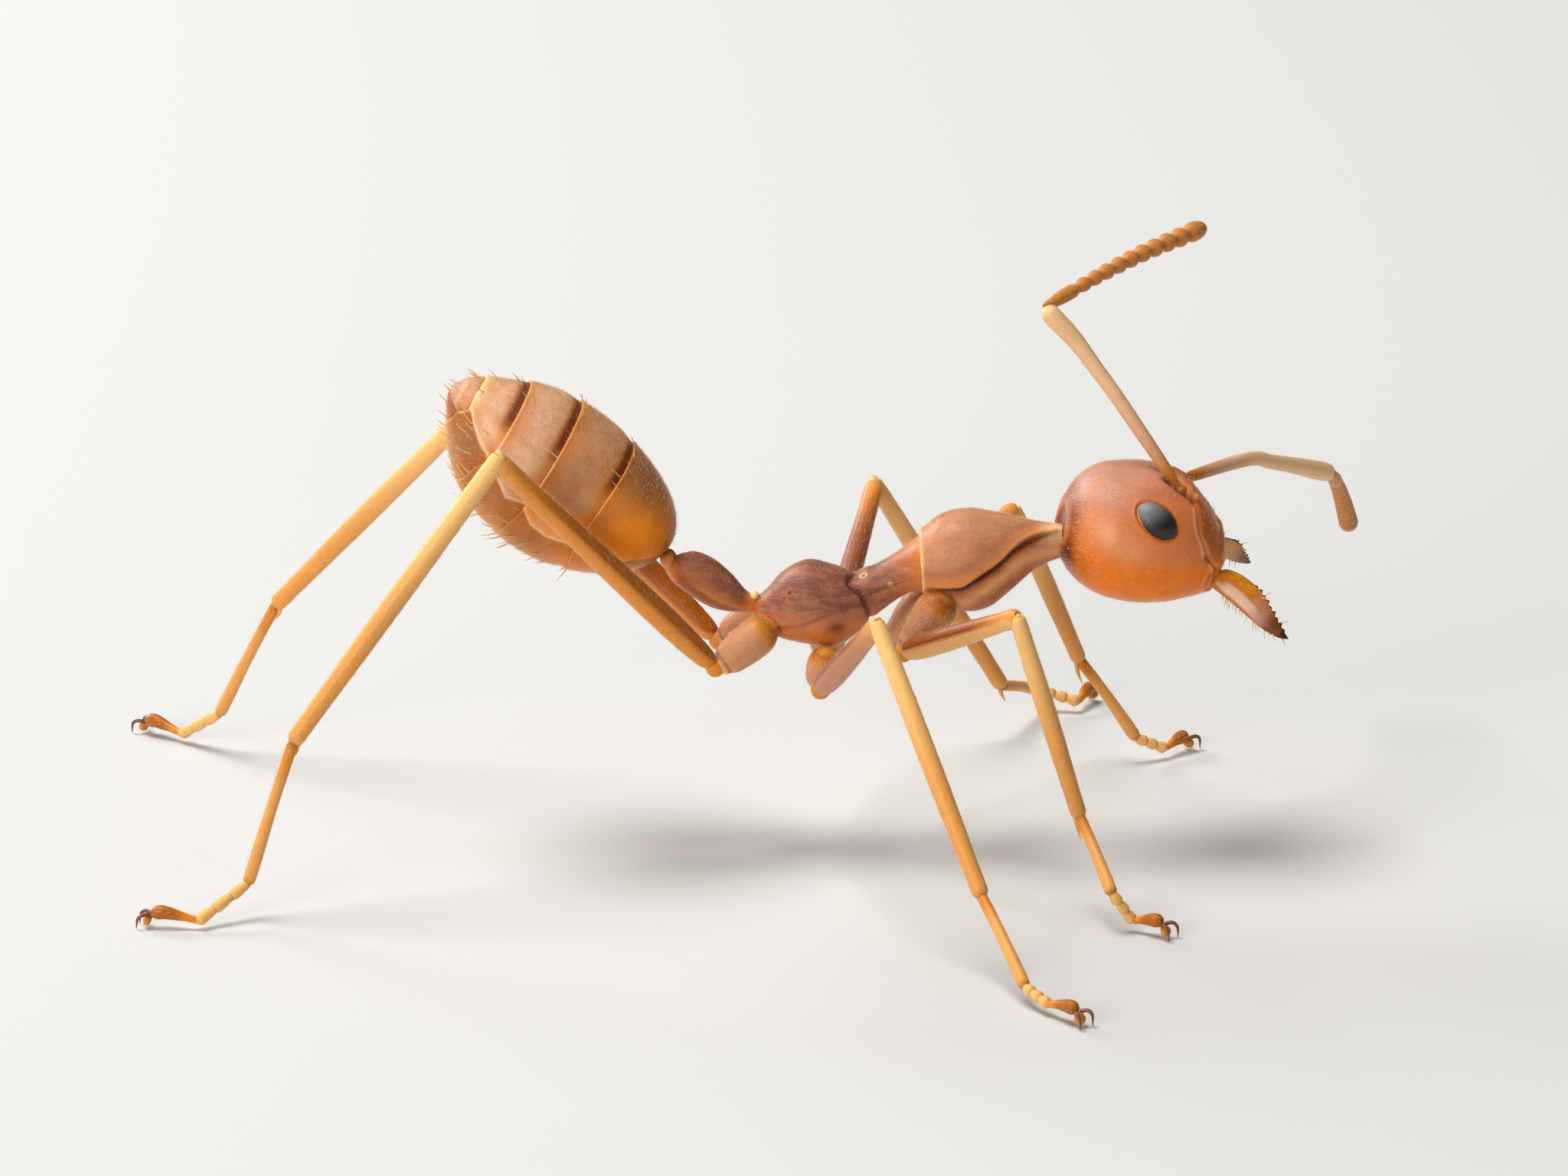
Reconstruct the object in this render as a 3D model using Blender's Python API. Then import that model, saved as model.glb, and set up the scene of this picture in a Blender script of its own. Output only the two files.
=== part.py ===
from math import cos, exp, pi, radians, sin

import bmesh
import bpy
from mathutils import Matrix, Vector

# Weaver ant worker, life size, standing still on six feet.
# Lengths are millimetres until place_in_metres() scales the finished meshes.
# +X is forward, +Y is the ant's left, +Z is up, and the feet stand on z = 0.

METRES_PER_MM = 0.001
STANCE_CENTRE = Vector((-0.383, -0.362, 0.0))   # middle of the whole stance, which becomes the origin
SEAM = 0.04                 # clear cut between neighbouring plates and limb parts
SHARP_ANGLE = 50.0          # edges that turn more than this are shaded as edges
SIDES = {"right": -1, "left": 1}

# Head: measured along its own axis, which starts at the back of the head.
HEAD_BACK = Vector((3.02, 0.0, 3.48))
HEAD_YAW = 10.0             # turned to the ant's left
HEAD_PITCH = 11.5           # face tipped down
HEAD_ROLL = 8.0             # left cheek a little higher than the right
HEAD_SQUARENESS = 2.2
HEAD_ROWS = [               # station, drop below the axis, rise above it, half width
    (0.00, 0.22, 0.40, 0.36),
    (0.10, 0.37, 0.57, 0.55),
    (0.29, 0.49, 0.71, 0.71),
    (0.50, 0.56, 0.78, 0.79),
    (0.85, 0.585, 0.83, 0.80),
    (1.18, 0.54, 0.77, 0.72),
    (1.38, 0.48, 0.62, 0.63),
    (1.55, 0.43, 0.49, 0.54),
    (1.70, 0.39, 0.31, 0.44),
]
HEAD_RINGS = 22
HEAD_SIDES = 26
HEAD_BACK_DOME = 0.05
HEAD_FRONT_DOME = 0.07

EYE_STATION = 0.83
EYE_RISE = 0.51
EYE_SIDE = 0.62
EYE_HALF_SIZE = Vector((0.25, 0.13, 0.18))      # along, out, across
EYE_TURN = 32.0             # long axis dips towards the mouth
EYE_LEAN = 38.0             # looks out and up

SOCKET_STATION = 1.16       # where the feelers leave the head
SOCKET_SIDE = 0.20
SOCKET_RISE = 0.60

# Jaws: blades that open sideways, toothed along the inner edge.
JAW_STATION = 1.63
JAW_SIDE = 0.40
JAW_RISE = -0.11
JAW_LENGTH = 1.02
JAW_SPREAD = {"right": 30.0, "left": 38.0}      # outwards from the head's axis
JAW_DROP = 19.0             # downwards from the head's axis
JAW_ROLL = 58.0             # toothed edge turned up from the plane of the face
JAW_THICKNESS = 0.16
JAW_THINNING = 0.55         # share of the thickness lost by the tip
JAW_FIRST_TOOTH = 0.38      # share of the length
JAW_TEETH = 9
JAW_TOOTH_HEIGHT = 0.042
JAW_EDGE_STEPS = 9
JAW_ROWS = [                # share of length, outer edge, inner edge
    (0.00, -0.11, 0.14),
    (0.10, -0.11, 0.185),
    (0.22, -0.11, 0.215),
    (0.36, -0.117, 0.215),
    (0.50, -0.128, 0.18),
    (0.62, -0.135, 0.13),
    (0.75, -0.133, 0.068),
    (0.92, -0.095, 0.0),
]

# Feelers: a long first piece from the socket to the elbow, then the jointed whip.
FEELER_RADIUS = 0.25
FEELER_ROOT_RADIUS = 0.12
FEELER_SWELL = 0.14         # growth of the radius along the first stretch
SCAPE_RINGS = 9
WHIP_BOW = Vector((0.0, 0.0, 0.06))             # the whip arches a little above its straight line
WHIP_RADII = (0.25, 0.25, 0.25, 0.25, 0.25, 0.225, 0.20)
FEELERS = {                 # the rise is where the scape's curve heads for as it leaves the socket
    "right": {"rise": Vector((4.03, 0.05, 4.36)), "elbow": Vector((2.89, 0.50, 5.76)),
              "tip": Vector((4.59, 2.55, 6.07))},
    "left": {"rise": Vector((4.34, 0.66, 4.27)), "elbow": Vector((5.93, 2.12, 3.47)),
             "tip": Vector((6.22, 4.47, 2.17))},
}

# Trunk: one profile from the waist to the neck, parted at its two sutures.
TRUNK_ROWS = [              # station on X, underside, back, half width
    (-0.14, 2.53, 2.71, 0.11),
    (-0.03, 2.38, 2.80, 0.24),
    (0.12, 2.30, 2.97, 0.35),
    (0.38, 2.24, 3.11, 0.41),
    (0.66, 2.20, 3.06, 0.40),
    (0.90, 2.34, 2.99, 0.33),
    (1.10, 2.54, 3.07, 0.25),
    (1.34, 2.71, 3.24, 0.27),
    (1.58, 2.79, 3.45, 0.37),
    (1.78, 2.68, 3.61, 0.46),
    (2.05, 2.59, 3.675, 0.49),
    (2.30, 2.64, 3.65, 0.44),
    (2.55, 2.84, 3.60, 0.35),
    (2.80, 3.06, 3.55, 0.25),
    (2.97, 3.15, 3.52, 0.20),
]
TRUNK_RINGS = 26
TRUNK_SIDES = 18
TRUNK_SQUARENESS = 2.3
TRUNK_BACK_DOME = 0.02
TRUNK_FRONT_DOME = 0.03
COLLAR_POINT = Vector((1.58, 0.0, 3.1))         # on the suture behind the shield of the prothorax
COLLAR_LEAN = -4.0
FLANK_POINT = Vector((0.70, 0.0, 2.62))         # on the slanting suture before the propodeum
FLANK_LEAN = 32.0

# Waist node.
PETIOLE_ROWS = [            # station on X, height of the middle, half height, half width
    (-1.01, 3.085, 0.10, 0.12),
    (-0.88, 3.05, 0.19, 0.19),
    (-0.70, 2.94, 0.22, 0.22),
    (-0.50, 2.79, 0.20, 0.20),
    (-0.34, 2.69, 0.14, 0.15),
    (-0.19, 2.64, 0.09, 0.11),
]
PETIOLE_RINGS = 8
PETIOLE_SIDES = 12
PETIOLE_LEAN = 38.0         # rings stand square to the rising waist
PETIOLE_DOME = 0.03

# Gaster: an egg, carried high, in five overlapping plates.
GASTER_FRONT = Vector((-1.07, 0.0, 3.37))
GASTER_PITCH = 32.0
GASTER_SPAN = (-0.07, 2.76)
GASTER_HALF_HEIGHT = 0.84
GASTER_HALF_WIDTH = 0.83
GASTER_FULLNESS = 0.58      # power of the egg's outline
GASTER_TAPER = 0.09         # added to that power towards the tip, which is slimmer
GASTER_BLUNTNESS = 0.05     # taken from it towards the fuller front
GASTER_ENDS_FROM = 0.45     # share of the half length where these two begin
GASTER_FLAT_TOP = 0.09      # share of the height lost above, where the back flattens
GASTER_FLAT_STATION = 2.38
GASTER_FLAT_SPREAD = 0.36
GASTER_SAG = 0.10           # the middle line hangs this far below the axis at its lowest station
GASTER_SAG_STATION = 0.8
GASTER_SAG_CURVE = 0.05
GASTER_TIP_RISE = 0.06      # the last stretch turns up
GASTER_TIP_STRETCH = (2.2, 2.7)
GASTER_PLATE_ENDS = (0.83, 1.52, 2.08, 2.52)
GASTER_PLATE_STEP = 0.03    # each plate starts this much smaller than it ends
GASTER_PLATE_RINGS = 5
GASTER_FRONT_RINGS = 8      # the first plate carries the round front
GASTER_END_INSET = 0.03     # the end rings stop this short of the egg's tips
GASTER_SIDES = 22

# Legs: lengths from trochanter to claw, then the stance of each leg.
COXA_RADIUS = 0.26
COXA_TIP_RADIUS = 0.18
LEG_RADIUS = 0.25
FEMUR_START = 0.12          # beyond the trochanter
FEMUR_SHARES = (0.0, 0.12, 0.3, 0.65, 1.0)
FEMUR_RADII = (0.15, 0.22, 0.25, 0.25, 0.25)
FOOT_CENTRE_HEIGHT = 0.20   # so that a flat is left where the foot meets the floor
FOOT_SOFTENING = (0.55, 0.5, 0.4)               # where the foot's curve crosses each of its lengths
FOOT_RINGS = 9
LEG_RINGS = 4
LEG_SIDES = 10
LEG_LENGTHS = {             # femur, tibia, first foot joint, small foot joints, claw joint
    "fore": (2.15, 2.24, 1.07, 0.38, 0.46),
    "mid": (2.50, 3.03, 1.25, 0.40, 0.52),
    "hind": (3.56, 3.56, 1.59, 0.68, 0.62),
}
HIPS = {"fore": Vector((1.86, 0.36, 2.86)), "mid": Vector((0.61, 0.32, 2.40)),
        "hind": Vector((0.02, 0.30, 2.50))}
TROCHANTERS = {"fore": Vector((1.39, 0.42, 2.25)), "mid": Vector((0.59, 0.51, 1.93)),
               "hind": Vector((-0.55, 0.52, 2.10))}
# Each leg: (heading, pitch) of femur and tibia, then (heading, height of the far end) of the foot's
# three lengths. A heading of 0 is forward, 90 straight out to the leg's own side.
STANCE = {
    ("fore", "right"): ((53, 24), (-1, -73), (69, 0.43), (-12, 0.12), (34, 0.06)),
    ("mid", "right"): ((75, 31), (55, -52), (66, 0.20), (54, 0.13), (46, 0.06)),
    ("hind", "right"): ((154, 46), (158, -51), (173, 0.38), (142, 0.10), (187, 0.06)),
    ("fore", "left"): ((54, 23), (50, -60), (-5, 0.28), (23, 0.12), (51, 0.06)),
    ("mid", "left"): ((77, 30), (34, -57), (67, 0.23), (-8, 0.13), (70, 0.06)),
    ("hind", "left"): ((159, 40), (155, -46), (146, 0.45), (139, 0.10), (144, 0.06)),
}

CUTICLE = {                 # colour, roughness
    "head": ((0.62, 0.22, 0.08), 0.42),
    "eye": ((0.03, 0.03, 0.04), 0.25),
    "mandible": ((0.50, 0.20, 0.10), 0.35),
    "feeler": ((0.60, 0.32, 0.15), 0.45),
    "trunk": ((0.45, 0.20, 0.14), 0.45),
    "gaster": ((0.47, 0.27, 0.20), 0.50),
    "leg": ((0.60, 0.28, 0.10), 0.42),
}


def blend(rows, station):
    """Values of the rows at a station, on one smooth curve through all of them."""
    station = min(max(station, rows[0][0]), rows[-1][0])
    i = max(k for k in range(len(rows) - 1) if rows[k][0] <= station)
    a, b = rows[i], rows[i + 1]
    before, after = rows[max(i - 1, 0)], rows[min(i + 2, len(rows) - 1)]
    span = b[0] - a[0]
    u = (station - a[0]) / span
    values = []
    for k in range(1, len(a)):
        leave = (b[k] - before[k]) / (b[0] - before[0]) * span
        arrive = (after[k] - a[k]) / (after[0] - a[0]) * span
        values.append(
            (2 * u**3 - 3 * u**2 + 1) * a[k] + (u**3 - 2 * u**2 + u) * leave
            + (3 * u**2 - 2 * u**3) * b[k] + (u**3 - u**2) * arrive
        )
    return values


def steps(first, last, count):
    return [first + (last - first) * k / (count - 1) for k in range(count)]


def section(centre, side, up, half_width, rise, drop, count, squareness=2.0):
    """A closed oval ring, which may reach further above its centre than below."""
    ring = []
    for k in range(count):
        c, s = cos(2 * pi * k / count), sin(2 * pi * k / count)
        across = half_width * abs(c) ** (2 / squareness) * (1 if c >= 0 else -1)
        along = (rise if s >= 0 else -drop) * abs(s) ** (2 / squareness)
        ring.append(centre + side * across + up * along)
    return ring


def dome(ring, axis, depth, levels=2):
    """Rings that round off an end, from the given ring out to a pole."""
    centre = sum(ring, Vector()) / len(ring)
    rings = []
    for k in range(1, levels + 1):
        angle = k / (levels + 1) * pi / 2
        rings.append([centre + (p - centre) * cos(angle) + axis * depth * sin(angle) for p in ring])
    return rings, centre + axis * depth


def loft(rings, start_pole=None, end_pole=None):
    """A closed body through the rings, with a pole or a flat at each end."""
    body = bmesh.new()
    loops = [[body.verts.new(p) for p in ring] for ring in rings]
    for first, second in zip(loops, loops[1:]):
        for k in range(len(first)):
            n = (k + 1) % len(first)
            body.faces.new((first[k], first[n], second[n], second[k]))
    for loop, pole in ((loops[0], start_pole), (loops[-1], end_pole)):
        if pole is None:
            body.faces.new(loop)
            continue
        tip = body.verts.new(pole)
        for k in range(len(loop)):
            body.faces.new((loop[k], loop[(k + 1) % len(loop)], tip))
    bmesh.ops.recalc_face_normals(body, faces=body.faces[:])
    return body


def clip(body, point, outward):
    """Cut away what lies beyond a plane, and close the cut with a flat."""
    geometry = body.verts[:] + body.edges[:] + body.faces[:]
    bmesh.ops.bisect_plane(body, geom=geometry, dist=1e-5, plane_co=point, plane_no=outward,
                           clear_outer=True)
    rim = [edge for edge in body.edges if edge.is_boundary]
    if rim:
        bmesh.ops.edgeloop_fill(body, edges=rim)
    bmesh.ops.recalc_face_normals(body, faces=body.faces[:])


def keep_largest(body):
    """Drop the crumbs that a cut leaves beside the main body."""
    islands = []
    left = set(body.verts)
    while left:
        island, queue = set(), [left.pop()]
        while queue:
            vert = queue.pop()
            island.add(vert)
            near = {edge.other_vert(vert) for edge in vert.link_edges} & left
            left -= near
            queue += near
        islands.append(island)
    islands.sort(key=len)
    for island in islands[:-1]:
        bmesh.ops.delete(body, geom=list(island), context="VERTS")


def material(kind):
    colour, roughness = CUTICLE[kind]
    name = kind + "_cuticle"
    found = bpy.data.materials.get(name)
    if found:
        return found
    made = bpy.data.materials.new(name)
    made.use_nodes = True
    shader = made.node_tree.nodes["Principled BSDF"]
    shader.inputs["Base Color"].default_value = (*colour, 1.0)
    shader.inputs["Roughness"].default_value = roughness
    made.diffuse_color = (*colour, 1.0)
    return made


def add_object(name, body, kind):
    mesh = bpy.data.meshes.new(name)
    body.to_mesh(mesh)
    body.free()
    mesh.shade_smooth()
    mesh.set_sharp_from_angle(angle=radians(SHARP_ANGLE))
    mesh.materials.append(material(kind))
    obj = bpy.data.objects.new(name, mesh)
    bpy.context.scene.collection.objects.link(obj)
    return obj


def swollen(obj, distance):
    """A copy of a finished part, grown by the seam, to cut its neighbour with."""
    body = bmesh.new()
    body.from_mesh(obj.data)
    body.normal_update()
    moves = {vert: vert.normal * distance for vert in body.verts}
    for vert, move in moves.items():
        vert.co += move
    mesh = bpy.data.meshes.new("cutter")
    body.to_mesh(mesh)
    body.free()
    cutter = bpy.data.objects.new("cutter", mesh)
    bpy.context.scene.collection.objects.link(cutter)
    return cutter


def cut_by(obj, cutters):
    """Take the cutters out of a part, then remove them."""
    for cutter in cutters:
        modifier = obj.modifiers.new("cut", "BOOLEAN")
        modifier.operation = "DIFFERENCE"
        modifier.solver = "EXACT"
        modifier.object = cutter
        shape = obj.evaluated_get(bpy.context.evaluated_depsgraph_get())
        cut = bpy.data.meshes.new_from_object(shape)
        obj.modifiers.clear()
        body = bmesh.new()
        body.from_mesh(cut)
        keep_largest(body)
        body.to_mesh(obj.data)
        body.free()
        obj.data.shade_smooth()
        obj.data.set_sharp_from_angle(angle=radians(SHARP_ANGLE))
        bpy.data.meshes.remove(cut)
        bpy.data.objects.remove(cutter, do_unlink=True)


def head_frame():
    """The head's own axes: forward along it, to its left, and up."""
    turn = Matrix.Rotation(radians(HEAD_YAW), 3, "Z") @ Matrix.Rotation(radians(HEAD_PITCH), 3, "Y")
    turn = turn @ Matrix.Rotation(radians(HEAD_ROLL), 3, "X")
    return turn @ Vector((1, 0, 0)), turn @ Vector((0, 1, 0)), turn @ Vector((0, 0, 1))


def head_point(station, side, rise):
    forward, left, up = head_frame()
    return HEAD_BACK + forward * station + left * side + up * rise


def make_head():
    forward, left, up = head_frame()
    rings = []
    for station in steps(HEAD_ROWS[0][0], HEAD_ROWS[-1][0], HEAD_RINGS):
        drop, rise, half_width = blend(HEAD_ROWS, station)
        centre = HEAD_BACK + forward * station
        rings.append(section(centre, left, up, half_width, rise, drop, HEAD_SIDES, HEAD_SQUARENESS))
    back_rings, back_pole = dome(rings[0], -forward, HEAD_BACK_DOME)
    front_rings, front_pole = dome(rings[-1], forward, HEAD_FRONT_DOME)
    return add_object("head", loft(back_rings[::-1] + rings + front_rings, back_pole, front_pole), "head")


def make_eye(side_name):
    """A low oval dome, set into a socket of its own shape."""
    side = SIDES[side_name]
    forward, left, up = head_frame()
    lean = radians(EYE_LEAN)
    outward = (left * side * cos(lean) + up * sin(lean)).normalized()
    level = forward - outward * forward.dot(outward)
    along = Matrix.Rotation(radians(EYE_TURN) * side, 3, outward) @ level.normalized()
    across = outward.cross(along)
    body = bmesh.new()
    bmesh.ops.create_uvsphere(body, u_segments=14, v_segments=7, radius=1.0)
    centre = head_point(EYE_STATION, side * EYE_SIDE, EYE_RISE)
    for vert in body.verts:
        vert.co = (centre + along * vert.co.x * EYE_HALF_SIZE.x + across * vert.co.y * EYE_HALF_SIZE.z
                   + outward * vert.co.z * EYE_HALF_SIZE.y)
    bmesh.ops.recalc_face_normals(body, faces=body.faces[:])
    return add_object("eye_" + side_name, body, "eye")


def make_mandible(side_name, head):
    """A curved blade with a saw-toothed inner edge and one long end tooth."""
    side = SIDES[side_name]
    forward, left, up = head_frame()
    spread, drop, roll = radians(JAW_SPREAD[side_name]), radians(JAW_DROP), radians(JAW_ROLL)
    along = (forward * cos(spread) + left * side * sin(spread)) * cos(drop) - up * sin(drop)
    medial = left * -side
    medial = (medial - along * medial.dot(along)).normalized()
    raised = (up - along * up.dot(along)).normalized()
    inner = medial * cos(roll) + raised * sin(roll)
    face = along.cross(inner).normalized()
    root = head_point(JAW_STATION, side * JAW_SIDE, JAW_RISE)
    last = JAW_ROWS[-1][0]
    outer_edge, inner_edge = [], []
    for share in steps(0.0, last, JAW_EDGE_STEPS):
        low, high = blend(JAW_ROWS, share)
        outer_edge.append((share, low))
        if share < JAW_FIRST_TOOTH:
            inner_edge.append((share, high))
    for k, share in enumerate(steps(JAW_FIRST_TOOTH, last, JAW_TEETH * 2)):
        high = blend(JAW_ROWS, share)[1]
        inner_edge.append((share, high + (JAW_TOOTH_HEIGHT if k % 2 else 0.0)))
    outline = outer_edge + [(1.0, 0.0)] + inner_edge[::-1]
    body = bmesh.new()
    layers = []
    for offset in (-JAW_THICKNESS / 2, JAW_THICKNESS / 2):
        layer = []
        for share, across in outline:
            thin = 1.0 - JAW_THINNING * share
            spot = root + along * share * JAW_LENGTH + inner * across + face * offset * thin
            layer.append(body.verts.new(spot))
        layers.append(layer)
    body.faces.new(layers[0])
    body.faces.new(layers[1][::-1])
    for k in range(len(outline)):
        n = (k + 1) % len(outline)
        body.faces.new((layers[0][k], layers[1][k], layers[1][n], layers[0][n]))
    bmesh.ops.recalc_face_normals(body, faces=body.faces[:])
    jaw = add_object("mandible_" + side_name, body, "mandible")
    cut_by(jaw, [swollen(head, SEAM)])
    return jaw


def curve_through(points, count):
    """Evenly numbered places on a smooth curve that starts and ends at the end points."""
    ends = [points[0] * 2 - points[1]] + list(points) + [points[-1] * 2 - points[-2]]
    places = []
    for k in range(count):
        u = k / (count - 1) * (len(points) - 1)
        i = min(int(u), len(points) - 2)
        t = u - i
        a, b, c, d = ends[i:i + 4]
        places.append((b * 2 + (c - a) * t + (a * 2 - b * 5 + c * 4 - d) * t**2
                       + (b * 3 - a - c * 3 + d) * t**3) / 2)
    return places


def bend_to(start, heading_for, end, count):
    """Places on a curve that leaves start towards one point and arrives at the end from it."""
    places = []
    for t in steps(0.0, 1.0, count):
        places.append(start * (1 - t)**2 + heading_for * (2 * t * (1 - t)) + end * t**2)
    return places


def limb_body(places, radii, sides):
    """A round-ended tube whose rings turn with the path and never twist."""
    tangents = []
    for k in range(len(places)):
        ahead = places[min(k + 1, len(places) - 1)]
        behind = places[max(k - 1, 0)]
        tangents.append((ahead - behind).normalized())
    reference = Vector((0, 0, 1)) if abs(tangents[0].z) < 0.9 else Vector((1, 0, 0))
    side = tangents[0].cross(reference).normalized()
    rings = []
    for place, tangent, radius in zip(places, tangents, radii):
        side = (side - tangent * side.dot(tangent)).normalized()
        rings.append(section(place, side, side.cross(tangent), radius, radius, radius, sides))
    start_rings, start_pole = dome(rings[0], -tangents[0], radii[0])
    end_rings, end_pole = dome(rings[-1], tangents[-1], radii[-1])
    return loft(start_rings[::-1] + rings + end_rings, start_pole, end_pole)


def mitre(body, corner, before, after, keep):
    """Part a tube at a bend, on the plane that halves the bend; keep is -1 before it, 1 after it."""
    normal = ((corner - before).normalized() + (after - corner).normalized()).normalized()
    clip(body, corner + normal * keep * SEAM / 2, normal * -keep)


def make_feeler(side_name, head):
    """The long scape from its socket to the elbow, and the whip beyond it."""
    base = head_point(SOCKET_STATION, SIDES[side_name] * SOCKET_SIDE, SOCKET_RISE)
    rise, elbow, tip = (FEELERS[side_name][k] for k in ("rise", "elbow", "tip"))
    places = bend_to(base, rise, elbow, SCAPE_RINGS)
    radii = [min(FEELER_RADIUS, FEELER_ROOT_RADIUS + FEELER_SWELL * (p - base).length) for p in places]
    body = limb_body(places, radii, LEG_SIDES)
    mitre(body, elbow, rise, tip, -1)
    scape = add_object("scape_" + side_name, body, "feeler")
    cut_by(scape, [swollen(head, SEAM)])
    places = curve_through([elbow, elbow.lerp(tip, 0.5) + WHIP_BOW, tip], len(WHIP_RADII))
    body = limb_body(places, WHIP_RADII, LEG_SIDES)
    mitre(body, elbow, rise, tip, 1)
    add_object("funiculus_" + side_name, body, "feeler")


def trunk_body():
    rings = []
    for station in steps(TRUNK_ROWS[0][0], TRUNK_ROWS[-1][0], TRUNK_RINGS):
        underside, back, half_width = blend(TRUNK_ROWS, station)
        half = (back - underside) / 2
        centre = Vector((station, 0.0, underside + half))
        rings.append(section(centre, Vector((0, 1, 0)), Vector((0, 0, 1)), half_width, half, half,
                             TRUNK_SIDES, TRUNK_SQUARENESS))
    back_rings, back_pole = dome(rings[0], Vector((-1, 0, 0)), TRUNK_BACK_DOME, 1)
    front_rings, front_pole = dome(rings[-1], Vector((1, 0, 0)), TRUNK_FRONT_DOME, 1)
    return loft(back_rings[::-1] + rings + front_rings, back_pole, front_pole)


def make_trunk(head):
    """Prothorax, mesothorax and propodeum, parted by the collar suture and the flank suture."""
    collar_forward = Matrix.Rotation(radians(COLLAR_LEAN), 3, "Y") @ Vector((1, 0, 0))
    flank_forward = Matrix.Rotation(radians(FLANK_LEAN), 3, "Y") @ Vector((1, 0, 0))
    half = SEAM / 2
    plates = {
        "prothorax": ((COLLAR_POINT + collar_forward * half, -collar_forward),),
        "mesothorax": ((COLLAR_POINT - collar_forward * half, collar_forward),
                       (FLANK_POINT + flank_forward * half, -flank_forward)),
        "propodeum": ((FLANK_POINT - flank_forward * half, flank_forward),),
    }
    made = {}
    for name, planes in plates.items():
        body = trunk_body()
        for point, outward in planes:
            clip(body, point, outward)
        made[name] = add_object(name, body, "trunk")
    cut_by(made["prothorax"], [swollen(head, SEAM)])
    return made


def make_petiole():
    lean = Matrix.Rotation(radians(PETIOLE_LEAN), 3, "Y")
    along, up = lean @ Vector((1, 0, 0)), lean @ Vector((0, 0, 1))
    rings = []
    for station in steps(PETIOLE_ROWS[0][0], PETIOLE_ROWS[-1][0], PETIOLE_RINGS):
        height, half_height, half_width = blend(PETIOLE_ROWS, station)
        rings.append(section(Vector((station, 0.0, height)), Vector((0, 1, 0)), up, half_width,
                             half_height, half_height, PETIOLE_SIDES))
    back_rings, back_pole = dome(rings[0], -along, PETIOLE_DOME, 1)
    front_rings, front_pole = dome(rings[-1], along, PETIOLE_DOME, 1)
    return add_object("petiole", loft(back_rings[::-1] + rings + front_rings, back_pole, front_pole),
                      "trunk")


def eased(value, first, last):
    """A smooth step from 0 to 1 between the two limits."""
    u = min(max((value - first) / (last - first), 0.0), 1.0)
    return u * u * (3 - 2 * u)


def gaster_ring(station, scale):
    """One ring of the egg, square to its axis."""
    lean = Matrix.Rotation(radians(GASTER_PITCH), 3, "Y")
    backward, up = lean @ Vector((-1, 0, 0)), lean @ Vector((0, 0, 1))
    first, last = GASTER_SPAN
    middle, half_length = (first + last) / 2, (last - first) / 2
    out = (station - middle) / half_length
    power = (GASTER_FULLNESS + GASTER_TAPER * eased(out, GASTER_ENDS_FROM, 1.0)
             - GASTER_BLUNTNESS * eased(-out, GASTER_ENDS_FROM, 1.0))
    share = max(0.0, 1 - out**2) ** power * scale
    flat = GASTER_FLAT_TOP * exp(-((station - GASTER_FLAT_STATION) / GASTER_FLAT_SPREAD) ** 2)
    sag = GASTER_SAG_CURVE * (station - GASTER_SAG_STATION) ** 2 - GASTER_SAG
    rise = GASTER_TIP_RISE * eased(station, *GASTER_TIP_STRETCH)
    centre = GASTER_FRONT + backward * station + up * (sag + rise)
    half_height = GASTER_HALF_HEIGHT * share
    return section(centre, Vector((0, 1, 0)), up, GASTER_HALF_WIDTH * share, half_height * (1 - flat),
                   half_height, GASTER_SIDES)


def make_gaster(petiole):
    """Five plates, each a little smaller in front where it tucks under the one before."""
    first, last = GASTER_SPAN
    ends = (first,) + GASTER_PLATE_ENDS + (last,)
    for k in range(len(ends) - 1):
        start = ends[k] + (GASTER_END_INSET if k == 0 else SEAM / 2)
        stop = ends[k + 1] - (GASTER_END_INSET if k == len(ends) - 2 else SEAM / 2)
        rings = []
        for u in steps(0.0, 1.0, GASTER_FRONT_RINGS if k == 0 else GASTER_PLATE_RINGS):
            along = u * u if k == 0 else u      # closer rings on the round front
            scale = 1.0 if k == 0 else 1.0 - GASTER_PLATE_STEP * (1 - u)
            rings.append(gaster_ring(start + (stop - start) * along, scale))
        start_pole = end_pole = None
        if k == 0:
            start_pole = sum(gaster_ring(first, 1.0), Vector()) / GASTER_SIDES
        if k == len(ends) - 2:
            end_pole = sum(gaster_ring(last, 1.0), Vector()) / GASTER_SIDES
        plate = add_object("gaster_segment_%d" % (k + 1), loft(rings, start_pole, end_pole), "gaster")
        if k == 0:
            cut_by(plate, [swollen(petiole, SEAM)])


def mirrored(point, side):
    return Vector((point.x, point.y * side, point.z))


def leg_joints(pair, side_name):
    """Trochanter, knee, ankle, two foot joints and claw tip; each foot length is pitched to land
    on its stated height."""
    side = SIDES[side_name]
    places = [mirrored(TROCHANTERS[pair], side)]
    for k, (length, (heading, slope)) in enumerate(zip(LEG_LENGTHS[pair], STANCE[pair, side_name])):
        start = places[-1]
        if k < 2:
            climb = length * sin(radians(slope))
        else:
            climb = slope - start.z
        reach = max(length**2 - climb**2, 0.0) ** 0.5
        angle = radians(heading)
        places.append(start + Vector((cos(angle) * reach, side * sin(angle) * reach, climb)))
    return places


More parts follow.
